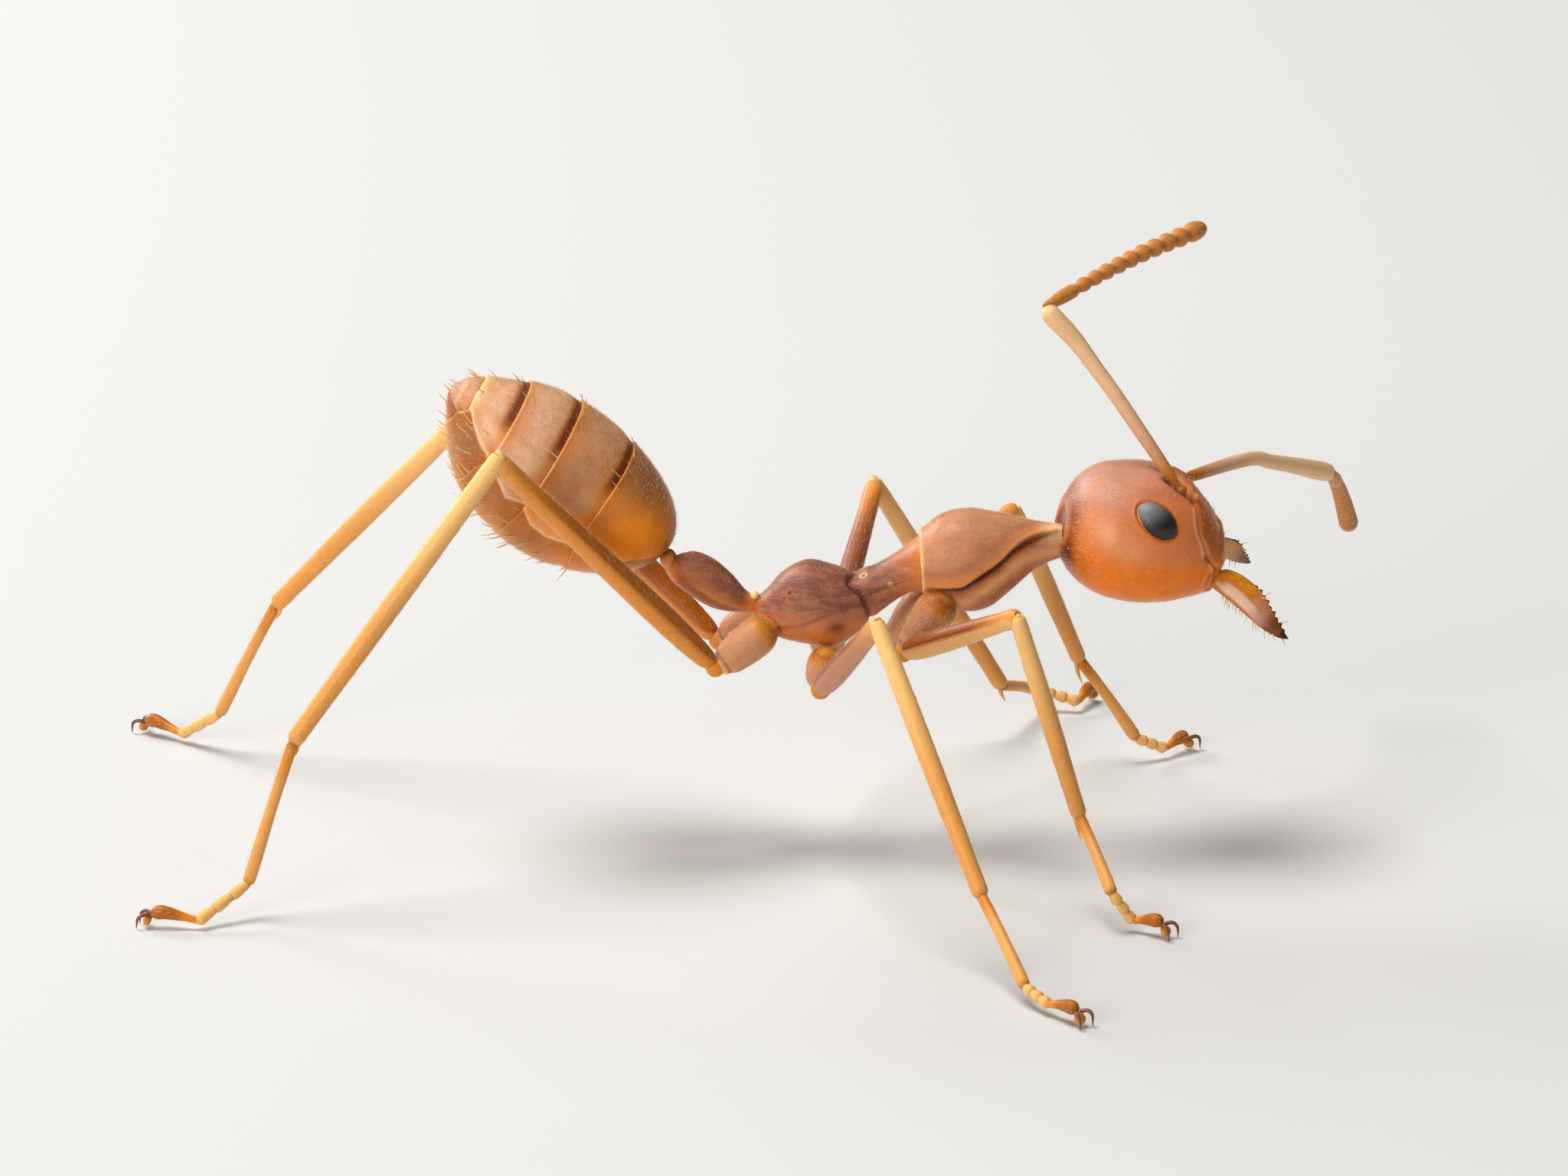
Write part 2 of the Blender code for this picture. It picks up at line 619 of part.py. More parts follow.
def make_leg(pair, side_name, trunk):
    """Coxa, femur, tibia and foot of one leg, parted at the joints."""
    side = SIDES[side_name]
    suffix = "_%s_%s" % (pair, side_name)
    hip = mirrored(HIPS[pair], side)
    trochanter, knee, ankle, instep, toe, claw = leg_joints(pair, side_name)

    places = [hip.lerp(trochanter, u) for u in steps(0.0, 1.0, LEG_RINGS)]
    radii = steps(COXA_RADIUS, COXA_TIP_RADIUS, LEG_RINGS)
    body = limb_body(places, radii, LEG_SIDES)
    clip(body, Vector((0, side * SEAM / 2, 0)), Vector((0, -side, 0)))
    coxa = add_object("coxa" + suffix, body, "leg")
    cut_by(coxa, [swollen(plate, SEAM) for plate in trunk])

    outward = (knee - trochanter).normalized()
    start = trochanter + outward * FEMUR_START
    places = [start.lerp(knee, u) for u in FEMUR_SHARES]
    body = limb_body(places, FEMUR_RADII, LEG_SIDES)
    mitre(body, knee, trochanter, ankle, -1)
    femur = add_object("femur" + suffix, body, "leg")
    cut_by(femur, [swollen(coxa, SEAM)])

    places = [knee.lerp(ankle, u) for u in steps(0.0, 1.0, LEG_RINGS)]
    body = limb_body(places, [LEG_RADIUS] * LEG_RINGS, LEG_SIDES)
    mitre(body, knee, trochanter, ankle, 1)
    mitre(body, ankle, knee, instep, -1)
    add_object("tibia" + suffix, body, "leg")

    path = [ankle] + [p + Vector((0, 0, max(0.0, FOOT_CENTRE_HEIGHT - p.z))) for p in (instep, toe, claw)]
    crossings = [a.lerp(b, u) for a, b, u in zip(path, path[1:], FOOT_SOFTENING)]
    places = curve_through([ankle] + crossings + [path[-1]], FOOT_RINGS)
    body = limb_body(places, [LEG_RADIUS] * FOOT_RINGS, LEG_SIDES)
    mitre(body, ankle, knee, instep, 1)
    clip(body, Vector((0, 0, 0)), Vector((0, 0, -1)))
    add_object("tarsus" + suffix, body, "leg")


def place_in_metres():
    """Scale every mesh to metres, about the middle of the stance."""
    move = Matrix.Scale(METRES_PER_MM, 4) @ Matrix.Translation(-STANCE_CENTRE)
    for obj in bpy.context.scene.objects:
        obj.data.transform(move)
        obj.data.update()


def main():
    for obj in list(bpy.data.objects):
        bpy.data.objects.remove(obj, do_unlink=True)
    head = make_head()
    for side_name in SIDES:
        make_mandible(side_name, head)
        make_feeler(side_name, head)
    trunk = make_trunk(head)
    for side_name in SIDES:
        cut_by(head, [swollen(make_eye(side_name), SEAM)])
    make_gaster(make_petiole())
    for pair, side_name in STANCE:
        make_leg(pair, side_name, trunk.values())
    place_in_metres()


main()
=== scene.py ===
from math import cos, pi, radians, sin

import bpy
import numpy as np
from mathutils import Matrix, Vector


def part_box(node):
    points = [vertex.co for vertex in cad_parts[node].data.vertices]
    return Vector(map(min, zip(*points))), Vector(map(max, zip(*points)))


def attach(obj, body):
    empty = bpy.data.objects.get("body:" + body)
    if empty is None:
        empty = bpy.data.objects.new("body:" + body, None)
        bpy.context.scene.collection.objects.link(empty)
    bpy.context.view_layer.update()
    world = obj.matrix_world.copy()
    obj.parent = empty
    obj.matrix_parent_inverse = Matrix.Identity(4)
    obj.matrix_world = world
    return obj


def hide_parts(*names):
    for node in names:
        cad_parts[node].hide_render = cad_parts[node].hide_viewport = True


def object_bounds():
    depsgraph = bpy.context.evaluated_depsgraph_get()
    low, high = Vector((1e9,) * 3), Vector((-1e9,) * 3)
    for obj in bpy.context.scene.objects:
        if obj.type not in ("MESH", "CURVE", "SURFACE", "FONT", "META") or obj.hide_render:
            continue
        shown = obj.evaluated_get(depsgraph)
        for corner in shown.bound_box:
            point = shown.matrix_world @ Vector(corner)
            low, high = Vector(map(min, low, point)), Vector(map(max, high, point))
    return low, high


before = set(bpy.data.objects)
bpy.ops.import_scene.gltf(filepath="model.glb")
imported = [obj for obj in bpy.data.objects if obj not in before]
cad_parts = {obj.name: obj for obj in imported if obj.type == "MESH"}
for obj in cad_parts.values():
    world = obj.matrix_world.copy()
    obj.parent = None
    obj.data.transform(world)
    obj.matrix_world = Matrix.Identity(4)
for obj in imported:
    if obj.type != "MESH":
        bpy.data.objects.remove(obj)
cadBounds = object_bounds()

# A weaver ant worker. Lengths are millimetres from the body's own origin, on the floor below
# the rear of the trunk: +X towards the head, +Y to the ant's left. skinMesh() makes them metres.
metresPerMm = 0.001
trunkRear = 0.16  # how far the trunk reaches behind that origin
rearLow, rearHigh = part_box("propodeum")
bodyOrigin = np.array((rearLow.x, (rearLow.y + rearHigh.y) / 2, cadBounds[0].z)) / metresPerMm
bodyOrigin[0] += trunkRear
farAway = 9.0  # more millimetres than anything here is long
mapMargin = 0.02  # share of a loft's unwrap left free around it
sides = {"Right": -1, "Left": 1}
# bloom is partly the colour of the fine down and partly painted sheen where the light falls
maskNames = ("warm", "pale", "dark", "bloom", "down", "bristle")


# reading the frame

def inBody(point):
    return np.array(point) / metresPerMm - bodyOrigin


def boxMiddle(node):
    return np.mean([inBody(corner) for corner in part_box(node)], axis=0)


def middleLine(node, shares, start=None):
    # middles of a limb's cross-sections, at shares of its solid's length from the end near start
    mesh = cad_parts[node].data
    mesh.calc_loop_triangles()
    places = np.array([inBody(vertex.co) for vertex in mesh.vertices])
    triangles = places[np.array([triangle.vertices for triangle in mesh.loop_triangles])]
    middle = places.mean(0)
    axis = np.linalg.svd(places - middle, full_matrices=False)[2][0]
    if start is not None and (start - middle) @ axis > 0:
        axis = -axis
    heights = (triangles - middle) @ axis
    line = []
    for share in shares:
        levels = heights - (heights.min() + np.ptp(heights) * share)
        total, weight = np.zeros(3), 0.0
        for corner, level in zip(triangles, levels):
            cuts = [corner[i] + (corner[j] - corner[i]) * level[i] / (level[i] - level[j])
                    for i, j in ((0, 1), (1, 2), (2, 0)) if level[i] * level[j] < 0]
            if len(cuts) == 2:
                length = np.linalg.norm(cuts[1] - cuts[0])
                total += (cuts[0] + cuts[1]) / 2 * length
                weight += length
        line.append(total / weight)
    return np.array(line)


def meeting(firstLine, secondLine):
    # the place nearest to two straight lines, each given by two of its points
    a, b = unit(firstLine[-1] - firstLine[0]), unit(secondLine[-1] - secondLine[0])
    across = np.cross(a, b)
    gap = secondLine[0] - firstLine[0]
    shareA, shareB = (np.cross(gap, way) @ across / (across @ across) for way in (b, a))
    return (firstLine[0] + a * shareA + secondLine[0] + b * shareB) / 2


# curves, lofts and relief

def unit(vector):
    return vector / np.linalg.norm(vector)


def ease(value, low, high):
    # 0 before low, 1 past high, and smooth in between; low may be the greater of the two
    share = np.clip((value - low) / (high - low), 0.0, 1.0)
    return share * share * (3 - 2 * share)


def swell(distance, width):
    return np.exp(-(distance / width) ** 2)


def weigh(features, weights, plate=0):
    # features of a surface added up by weight; a weight may have one value for each plate
    return sum(features[name] * (weight[plate] if isinstance(weight, tuple) else weight)
               for name, weight in weights.items())


def weighAll(features, tables, plate=0):
    return {name: weigh(features, weights, plate) for name, weights in tables.items()}


def blendRows(rows, stations):
    # every column of the rows at the stations, on one smooth curve through all rows
    rows = np.array(rows, float)
    keys, values = rows[:, 0], rows[:, 1:]
    before = np.maximum(np.arange(len(rows)) - 1, 0)
    after = np.minimum(np.arange(len(rows)) + 1, len(rows) - 1)
    slopes = (values[after] - values[before]) / (keys[after] - keys[before])[:, None]
    stations = np.clip(stations, keys[0], keys[-1])
    i = np.clip(np.searchsorted(keys, stations, side="right") - 1, 0, len(rows) - 2)
    span = (keys[i + 1] - keys[i])[:, None]
    u = (stations - keys[i])[:, None] / span
    return ((2 * u**3 - 3 * u**2 + 1) * values[i] + (u**3 - 2 * u**2 + u) * span * slopes[i]
            + (3 * u**2 - 2 * u**3) * values[i + 1] + (u**3 - u**2) * span * slopes[i + 1]).T


def smoothPath(places, count):
    # a smooth curve through a few places, as count evenly numbered places
    rows = np.column_stack([np.arange(len(places)), np.array(places, float)])
    return blendRows(rows, np.linspace(0, len(places) - 1, count)).T


def pathPlaces(path, shares):
    # places at shares of a path's length, and that length
    steps = np.linalg.norm(np.diff(path, axis=0), axis=1)
    travelled = np.concatenate([[0], np.cumsum(steps)])
    marks = shares * travelled[-1]
    return np.column_stack([np.interp(marks, travelled, path[:, k]) for k in range(3)]), travelled[-1]


def ovalRings(centres, side, up, halfWidth, rise, drop, count, squareness=2.0):
    # closed rings counter-clockwise about the direction in which the stations run
    angles = np.linspace(0, 2 * pi, count, endpoint=False)
    c, s = (np.abs(wave) ** (2 / squareness) * np.sign(wave) for wave in (np.cos(angles), np.sin(angles)))
    height = np.where(s >= 0, rise[:, None] * s, drop[:, None] * s)
    width = halfWidth[:, None] * c
    side, up = np.broadcast_to(side, centres.shape), np.broadcast_to(up, centres.shape)
    return centres[:, None] + width[..., None] * side[:, None] + height[..., None] * up[:, None]


def stationRows(shape):
    # even stations from the first row to the last, and what the rows say at each of them
    rows = shape["rows"]
    stations = np.linspace(rows[0][0], rows[-1][0], shape["stations"])
    return stations, *blendRows(rows, stations)


def bodyRings(shape, stations, height, halfWidth, rise, drop, up=(0, 0, 1)):
    # a loft along the body, its ends rounded off with shrinking rings
    centres = np.column_stack([stations, stations * 0, height])
    rings = ovalRings(centres, (0, 1, 0), up, halfWidth, rise, drop, shape["sides"], shape["squareness"])
    firstDepth, lastDepth, levels, fullness = shape["ends"]
    angles = np.linspace(0, pi / 2, levels + 2)[1:-1]
    shrink, reach = (np.cos(angles) ** fullness)[:, None, None], np.sin(angles)[:, None, None]
    along = np.cross((0, 1, 0), up)
    ends = [ring.mean(0) + (ring - ring.mean(0)) * shrink + along * depth * reach
            for ring, depth in ((rings[0], -firstDepth), (rings[-1], lastDepth))]
    return np.concatenate([ends[0][::-1], rings, ends[1]])


def gridNormals(grid):
    along = np.gradient(grid, axis=0)
    around = np.roll(grid, -1, axis=1) - np.roll(grid, 1, axis=1)
    normals = np.cross(around, along)
    return normals / np.maximum(np.linalg.norm(normals, axis=-1, keepdims=True), 1e-12)


def bothSides(points, places, stretch=(1, 1, 1)):
    # the distance to a place or a smooth path, or to its mirrored twin, whichever is nearer
    path = (smoothPath(places, 40) if np.ndim(places) > 1 else np.array([places])) * stretch
    nearest = np.full(points.shape[:-1], np.inf)
    for mirrored in (1, -1):
        here = points * stretch * (1, mirrored, 1)
        nearest = np.minimum(nearest, np.linalg.norm(here - path[0], axis=-1))
        for start, step in zip(path, np.diff(path, axis=0)):
            share = np.clip((here - start) @ step / (step @ step), 0, 1)
            away = here - start - share[..., None] * step
            nearest = np.minimum(nearest, np.linalg.norm(away, axis=-1))
    return nearest


def nearLines(points, lines):
    # how near the points are to each line, given by its width, its places and maybe a stretch
    return {name: swell(bothSides(points, *line), width) for name, (width, *line) in lines.items()}


def tube(path, radii, count, flatten):
    # rings square to a path, turned along with it so that they never twist
    tangents = np.gradient(path, axis=0)
    tangents /= np.linalg.norm(tangents, axis=1, keepdims=True)
    side = np.cross(tangents[0], (0, 0, 1))
    if np.linalg.norm(side) < 0.1:
        side = np.cross(tangents[0], (1, 0, 0))
    frames = []
    for tangent in tangents:
        side = unit(side - tangent * (side @ tangent))
        frames.append(side)
    return ovalRings(path, frames, np.cross(tangents, frames), radii, radii * flatten, radii * flatten, count)


def limbRings(places, rows, steps, count, flatten=1.0):
    # a round-ended limb along a smooth path; rows give its radius at shares of the length
    shares = 0.5 - 0.5 * np.cos(np.linspace(0, pi, steps))
    fine = smoothPath(places, 400) if len(places) > 2 else np.linspace(places[0], places[1], 400)
    path, length = pathPlaces(fine, shares)
    radii = blendRows(rows, shares)[0]
    for gap in (shares * length, (1 - shares) * length):
        radii = radii * np.sqrt(np.maximum(1 - np.clip(1 - gap / np.maximum(radii, 1e-6), 0, 1) ** 2, 1e-4))
    return tube(path, radii, count, flatten), np.broadcast_to(shares[:, None], (steps, count))


def ballRings(place, size, count):
    return limbRings(((-1.0, 0, 0), (1.0, 0, 0)), ((0, 1.0), (1, 1.0)), 24, count)[0] * size + place


# building pieces

def loftCorners(here, beside, ends):
    # what the corners of a loft's quads read, and those of the triangles round its two ends
    quads = np.stack([here[:-1], beside[:-1], beside[1:], here[1:]], 2)
    return quads, np.stack([beside[0], here[0], ends[0], here[-1], beside[-1], ends[1]], 1)


class Skin:
    # one piece while it is shaped: closed lofts, with the masks that its paint and hairs read
    def __init__(self):
        self.layers = {name: [] for name in ("points", "lie", *maskNames)}
        self.faces, self.maps, self.count = [], [], 0

    def add(self, grid, masks=None, place=(0.0, np.eye(3)), lieSign=1.0):
        # grid[station, angle] in the piece's own frame, which place turns into the body's frame
        origin, axes = place
        rows, columns = grid.shape[:2]
        lie = np.gradient(grid, axis=0) * lieSign
        lie /= np.maximum(np.linalg.norm(lie, axis=-1, keepdims=True), 1e-9)
        layers = {name: np.broadcast_to((masks or {}).get(name, 0.0), (rows, columns)).clip(0, 1)
                  for name in maskNames}
        layers.update(points=grid @ axes.T + origin, lie=lie @ axes.T)
        for name, values in layers.items():
            values = values.reshape(rows, columns, -1)
            ends = values[[0, -1]].mean(1)
            self.layers[name].append(np.concatenate([values.reshape(rows * columns, -1), ends]))
        index = np.arange(rows * columns).reshape(rows, columns, 1) + self.count
        ends = np.array((0, 1)).reshape(2, 1, 1) + self.count + rows * columns + index[:1] * 0
        quads, caps = loftCorners(index, np.roll(index, -1, axis=1), ends)
        self.faces += quads.reshape(-1, 4).tolist() + caps.reshape(-1, 3).tolist()
        left = np.arange(columns) / columns
        here = np.stack(np.meshgrid(left, np.linspace(mapMargin, 1 - mapMargin, rows)), -1)
        ends = [np.column_stack([left + 0.5 / columns, left * 0 + v]) for v in (0, 1)]
        corners = loftCorners(here, here + (1 / columns, 0), ends)
        self.maps.append(np.concatenate([part.reshape(-1, 2) for part in corners]))
        self.count += rows * columns + 2

    def join(self, other):
        self.faces += [[corner + self.count for corner in face] for face in other.faces]
        for name, values in other.layers.items():
            self.layers[name] += values
        self.maps += other.maps
        self.count += other.count


madeSkins = {}


def skinMesh(name, skin):
    mesh = bpy.data.meshes.new(name)
    layers = {label: np.concatenate(parts) for label, parts in skin.layers.items()}
    mesh.from_pydata((layers.pop("points") + bodyOrigin) * metresPerMm, [], skin.faces)
    for label, values in layers.items():
        kind, part = ("FLOAT_VECTOR", "vector") if label == "lie" else ("FLOAT", "value")
        mesh.attributes.new(label, kind, "POINT").data.foreach_set(part, values.astype(np.float32).ravel())
    width = 1 / len(skin.maps)  # the lofts' unwraps lie side by side
    unwrap = [(loft * (1 - mapMargin, 1) + (k + mapMargin / 2, 0)) * (width, 1)
              for k, loft in enumerate(skin.maps)]
    layer = mesh.uv_layers.new(name="skinMap")
    layer.data.foreach_set("uv", np.concatenate(unwrap).astype(np.float32).ravel())
    mesh.shade_smooth()
    return mesh


def addObject(name, data):
    made = bpy.data.objects.new(name, data)
    bpy.context.scene.collection.objects.link(made)
    return made


def addPiece(name, mesh, slot, *nodes):
    piece = addObject(name, mesh)
    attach(piece, "root")
    if nodes:
        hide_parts(*nodes)


def addSkin(name, skin, material, slot, *nodes):
    # a shaped skin becomes a mesh in metres that rides on the body
    mesh = skinMesh(name, skin)
    mesh.materials.append(material)
    madeSkins[name] = skin
    addPiece(name, mesh, slot, *nodes)


# node graphs

class Signal:
    # one output of a node; sums and products of signals and numbers add Math nodes
    def __init__(self, graph, socket):
        self.graph, self.socket = graph, socket

    def __add__(self, other):
        return self.graph.maths("ADD", self, other)

    def __sub__(self, other):
        return self.graph.maths("SUBTRACT", self, other)

    def __rsub__(self, other):
        return self.graph.maths("SUBTRACT", other, self)

    def __mul__(self, other):
        return self.graph.maths("MULTIPLY", self, other)

    __radd__ = __add__
    __rmul__ = __mul__

    def other(self, output):
        # another output of the same node
        return Signal(self.graph, self.socket.node.outputs[output])


class Graph:
    # a node tree under construction
    def __init__(self, tree):
        self.tree = tree

    def fill(self, node, inputs):
        # links or sets a node's sockets; a colour is red, green, blue
        for name, value in inputs.items():
            socket = node.inputs[name]
            if isinstance(value, Signal):
                self.tree.links.new(value.socket, socket)
            else:
                socket.default_value = (*value, 1.0) if socket.type == "RGBA" else value

    def node(self, kind, settings=None, inputs=None, output=0):
        made = self.tree.nodes.new(kind)
        for name, value in (settings or {}).items():
            setattr(made, name, value)
        self.fill(made, inputs or {})
        return Signal(self, made.outputs[output]) if made.outputs else made

    def maths(self, operation, first, second):
        return self.node("ShaderNodeMath", {"operation": operation}, {0: first, 1: second})

    def vectors(self, operation, first, second, output=0):
        return self.node("ShaderNodeVectorMath", {"operation": operation}, {0: first, 1: second}, output)

    def scaled(self, vector, factor):
        return self.node("ShaderNodeVectorMath", {"operation": "SCALE"}, {0: vector, "Scale": factor})

    def mix(self, factor, first, second):
        # two colours mixed by a factor
        return self.node("ShaderNodeMix", {"data_type": "RGBA"}, {0: factor, 6: first, 7: second}, 2)

    def between(self, value, low, high):
        # 0 below low, 1 above high, and smooth in between
        return self.node("ShaderNodeMapRange", {"interpolation_type": "SMOOTHSTEP"},
                         {"Value": value, "From Min": low, "From Max": high})

    def noise(self, where, size, detail, roughness=0.5):
        return self.node("ShaderNodeTexNoise", None, {"Vector": where, "Scale": 1 / (size * metresPerMm),
                                                      "Detail": detail, "Roughness": roughness})

    def bump(self, height, strength, depth):
        return self.node("ShaderNodeBump", None, {"Height": height, "Strength": strength,
                                                  "Distance": depth * metresPerMm})


def newTree(name, inputs, output):
    # a Geometry Nodes tree with its named inputs, as a graph and one signal for each input
    tree = bpy.data.node_groups.new(name, "GeometryNodeTree")
    for label, kind in inputs.items():
        tree.interface.new_socket(name=label, in_out="INPUT", socket_type="NodeSocket" + kind)
    tree.interface.new_socket(name=output, in_out="OUTPUT", socket_type="NodeSocketGeometry")
    graph = Graph(tree)
    start = graph.node("NodeGroupInput")
    return graph, {label: start.other(label) for label in inputs}


def closeTree(graph, geometry, material):
    painted = graph.node("GeometryNodeSetMaterial", None, {"Geometry": geometry, "Material": material})
    graph.node("NodeGroupOutput", None, {0: painted})
    return graph.tree


def fromNodes(carrier, tree, values):
    # the plain mesh that a Geometry Nodes tree makes on a carrier object, which is then removed
    modifier = carrier.modifiers.new("nodes", "NODES")
    modifier.node_group = tree
    for socket in tree.interface.items_tree:
        if socket.in_out == "INPUT" and socket.name in values:
            modifier[socket.identifier] = values[socket.name]
    carrier.update_tag()
    evaluated = carrier.evaluated_get(bpy.context.evaluated_depsgraph_get())
    mesh = bpy.data.meshes.new_from_object(evaluated)
    carrier.modifiers.remove(modifier)
    bpy.data.objects.remove(carrier)
    return mesh


# materials

cuticleLook = {  # sizes in millimetres
    "mottleSize": 0.2, "mottle": 0.34,
    "silkSize": 0.07, "silk": 0.45,  # how far the bloom and its painted sheen break up into streaks
    "grainSize": 0.035, "grain": 0.3, "grainStretch": (1.0, 1.0, 1.0),
    "pitPitch": 0.028, "pitWidth": 0.3, "speckle": 0.35,
    "reliefDepth": 0.006, "relief": 0.6,
    "scatterDepth": 0.1, "scatter": 0.22, "scatterRadius": (1.0, 0.42, 0.18),
    "gloss": 0.22, "sheen": 0.16, "sheenRoughness": 0.3, "sheenTint": (1.0, 0.86, 0.74),
}


def newMaterial(name):
    material = bpy.data.materials.new(name)
    material.use_nodes = True
    graph = Graph(material.node_tree)
    place = graph.node("ShaderNodeTexCoord", output="Object")
    return material, graph, material.node_tree.nodes["Principled BSDF"], place


def makeCuticle(name, roughness, **changes):
    # horny skin: its colours follow the skin's masks, with mottling, grain and hair pits
    look = {**cuticleLook, **changes}
    material, graph, shader, place = newMaterial(name)
    masks = {label: graph.node("ShaderNodeAttribute", {"attribute_name": label}, output="Fac")
             for label in ("warm", "bloom", "pale", "dark")}
    stretched = graph.node("ShaderNodeMapping", None, {"Vector": place, "Scale": look["grainStretch"]})
    mottle = graph.noise(place, look["mottleSize"], 3.0, 0.6)
    grain = graph.noise(stretched, look["grainSize"], 3.0, 0.6)
    silk = graph.between(graph.noise(stretched, look["silkSize"], 2.0, 0.6), 0.36, 0.64)
    cells = graph.node("ShaderNodeTexVoronoi", {"feature": "F1"},
                       {"Vector": place, "Scale": 1 / (look["pitPitch"] * metresPerMm)})
    pit = 1 - graph.between(cells, look["pitWidth"] * 0.5, look["pitWidth"])
    colour = graph.mix(masks["warm"] * (mottle * 0.5 + 0.75), look["base"], look["warm"])
    streaks = silk * look["silk"] + (1 - look["silk"] * 0.5) + (grain - 0.5) * 0.5
    # the bloom colour, partly real down and partly painted sheen, comes in by its mask in streaks
    colour = graph.mix(masks["bloom"] * streaks, colour, look["bloom"])
    colour = graph.scaled(colour, (mottle - 0.5) * look["mottle"] + (grain - 0.5) * look["grain"] + 1.0)
    colour = graph.mix(pit * masks["warm"] * look["speckle"], colour, look["pale"])
    for label in ("pale", "dark"):
        colour = graph.mix(masks[label], colour, look[label])
    graph.fill(shader, {
        "Base Color": colour,
        "Normal": graph.bump(grain * 0.5 - pit * 0.8 + mottle * 0.6, look["relief"], look["reliefDepth"]),
        "Roughness": grain * 0.16 + (roughness - 0.08) + masks["bloom"] * 0.08,
        "Subsurface Weight": look["scatter"], "Subsurface Radius": look["scatterRadius"],
        "Subsurface Scale": look["scatterDepth"] * metresPerMm, "Specular IOR Level": look["gloss"],
        "Sheen Weight": look["sheen"], "Sheen Roughness": look["sheenRoughness"],
        "Sheen Tint": look["sheenTint"]})
    return material


glossLook = {"grainSize": 0.02, "relief": 0.3, "reliefDepth": 0.001, "deeper": 0.7, "lighter": 1.35}


def makeGloss(name, colour, roughness, above=None):
    # an even, hard finish with a fine grain; above is a second colour, the way to it, and the
    # distances along that way, in millimetres, between which it comes in
    material, graph, shader, place = newMaterial(name)
    grain = graph.noise(place, glossLook["grainSize"], 2.0)
    paint = graph.mix(grain, tuple(part * glossLook["deeper"] for part in colour),
                      tuple(min(1.0, part * glossLook["lighter"] + 0.01) for part in colour))
    if above:
        upperColour, way, low, high = above
        rise = graph.vectors("DOT_PRODUCT", place, way, "Value")
        paint = graph.mix(graph.between(rise, low * metresPerMm, high * metresPerMm), paint, upperColour)
    graph.fill(shader, {"Base Color": paint, "Roughness": grain * 0.12 + (roughness - 0.06),
                        "Normal": graph.bump(grain, glossLook["relief"], glossLook["reliefDepth"])})
    return material


headLook = makeCuticle(
    "headCuticle", 0.36, base=(0.72, 0.215, 0.07), warm=(0.82, 0.185, 0.001), bloom=(0.48, 0.25, 0.19),
    pale=(0.88, 0.5, 0.26), dark=(0.16, 0.022, 0.002), speckle=0.5, silk=0.6, grainStretch=(0.5, 1.0, 1.0))
trunkLook = makeCuticle(
    "trunkCuticle", 0.4, base=(0.6, 0.205, 0.088), warm=(0.74, 0.195, 0.012), bloom=(0.28, 0.105, 0.065),
    pale=(0.94, 0.62, 0.3), dark=(0.12, 0.016, 0.003), grainStretch=(0.35, 1.0, 1.0), mottleSize=0.16,
    mottle=0.5, speckle=0.15, silk=0.9, silkSize=0.09)
gasterLook = makeCuticle(
    "gasterCuticle", 0.38, base=(0.52, 0.19, 0.05), warm=(1.0, 0.3, 0.001), bloom=(0.68, 0.37, 0.23),
    pale=(0.94, 0.62, 0.32), dark=(0.12, 0.015, 0.001), scatter=0.3, mottleSize=0.3, mottle=0.5,
    speckle=0.1, sheen=0.1, silk=0.6, silkSize=0.12)
legLook = makeCuticle(
    "legCuticle", 0.38, base=(0.64, 0.25, 0.07), warm=(0.7, 0.235, 0.01), bloom=(0.54, 0.24, 0.13),
    pale=(0.98, 0.64, 0.24), dark=(0.2, 0.03, 0.002), scatter=0.3, mottle=0.26, speckle=0.1)
jawLook = makeCuticle(
    "mandibleCuticle", 0.32, base=(0.42, 0.125, 0.026), warm=(0.6, 0.215, 0.008), bloom=(0.48, 0.22, 0.15),
    pale=(0.92, 0.66, 0.5), dark=(0.045, 0.008, 0.003), grainSize=0.03, mottleSize=0.07, mottle=0.8,
    grain=0.6, speckle=0.0, gloss=0.35, pitPitch=0.05, pitWidth=0.16, grainStretch=(0.25, 0.5, 1.0))
antennaLook = makeCuticle(
    "antennaCuticle", 0.42, base=(0.64, 0.28, 0.13), warm=(0.56, 0.19, 0.006), bloom=(0.64, 0.36, 0.23),
    pale=(0.96, 0.68, 0.36), dark=(0.24, 0.05, 0.006), scatter=0.3, speckle=0.1)
hairLook = makeGloss("paleHair", (0.86, 0.7, 0.46), 0.45)
bristleLook = makeGloss("goldenBristle", (0.8, 0.5, 0.15), 0.4)
clawLook = makeGloss("clawHorn", (0.19, 0.05, 0.015), 0.3)
print("materials ready")


# head

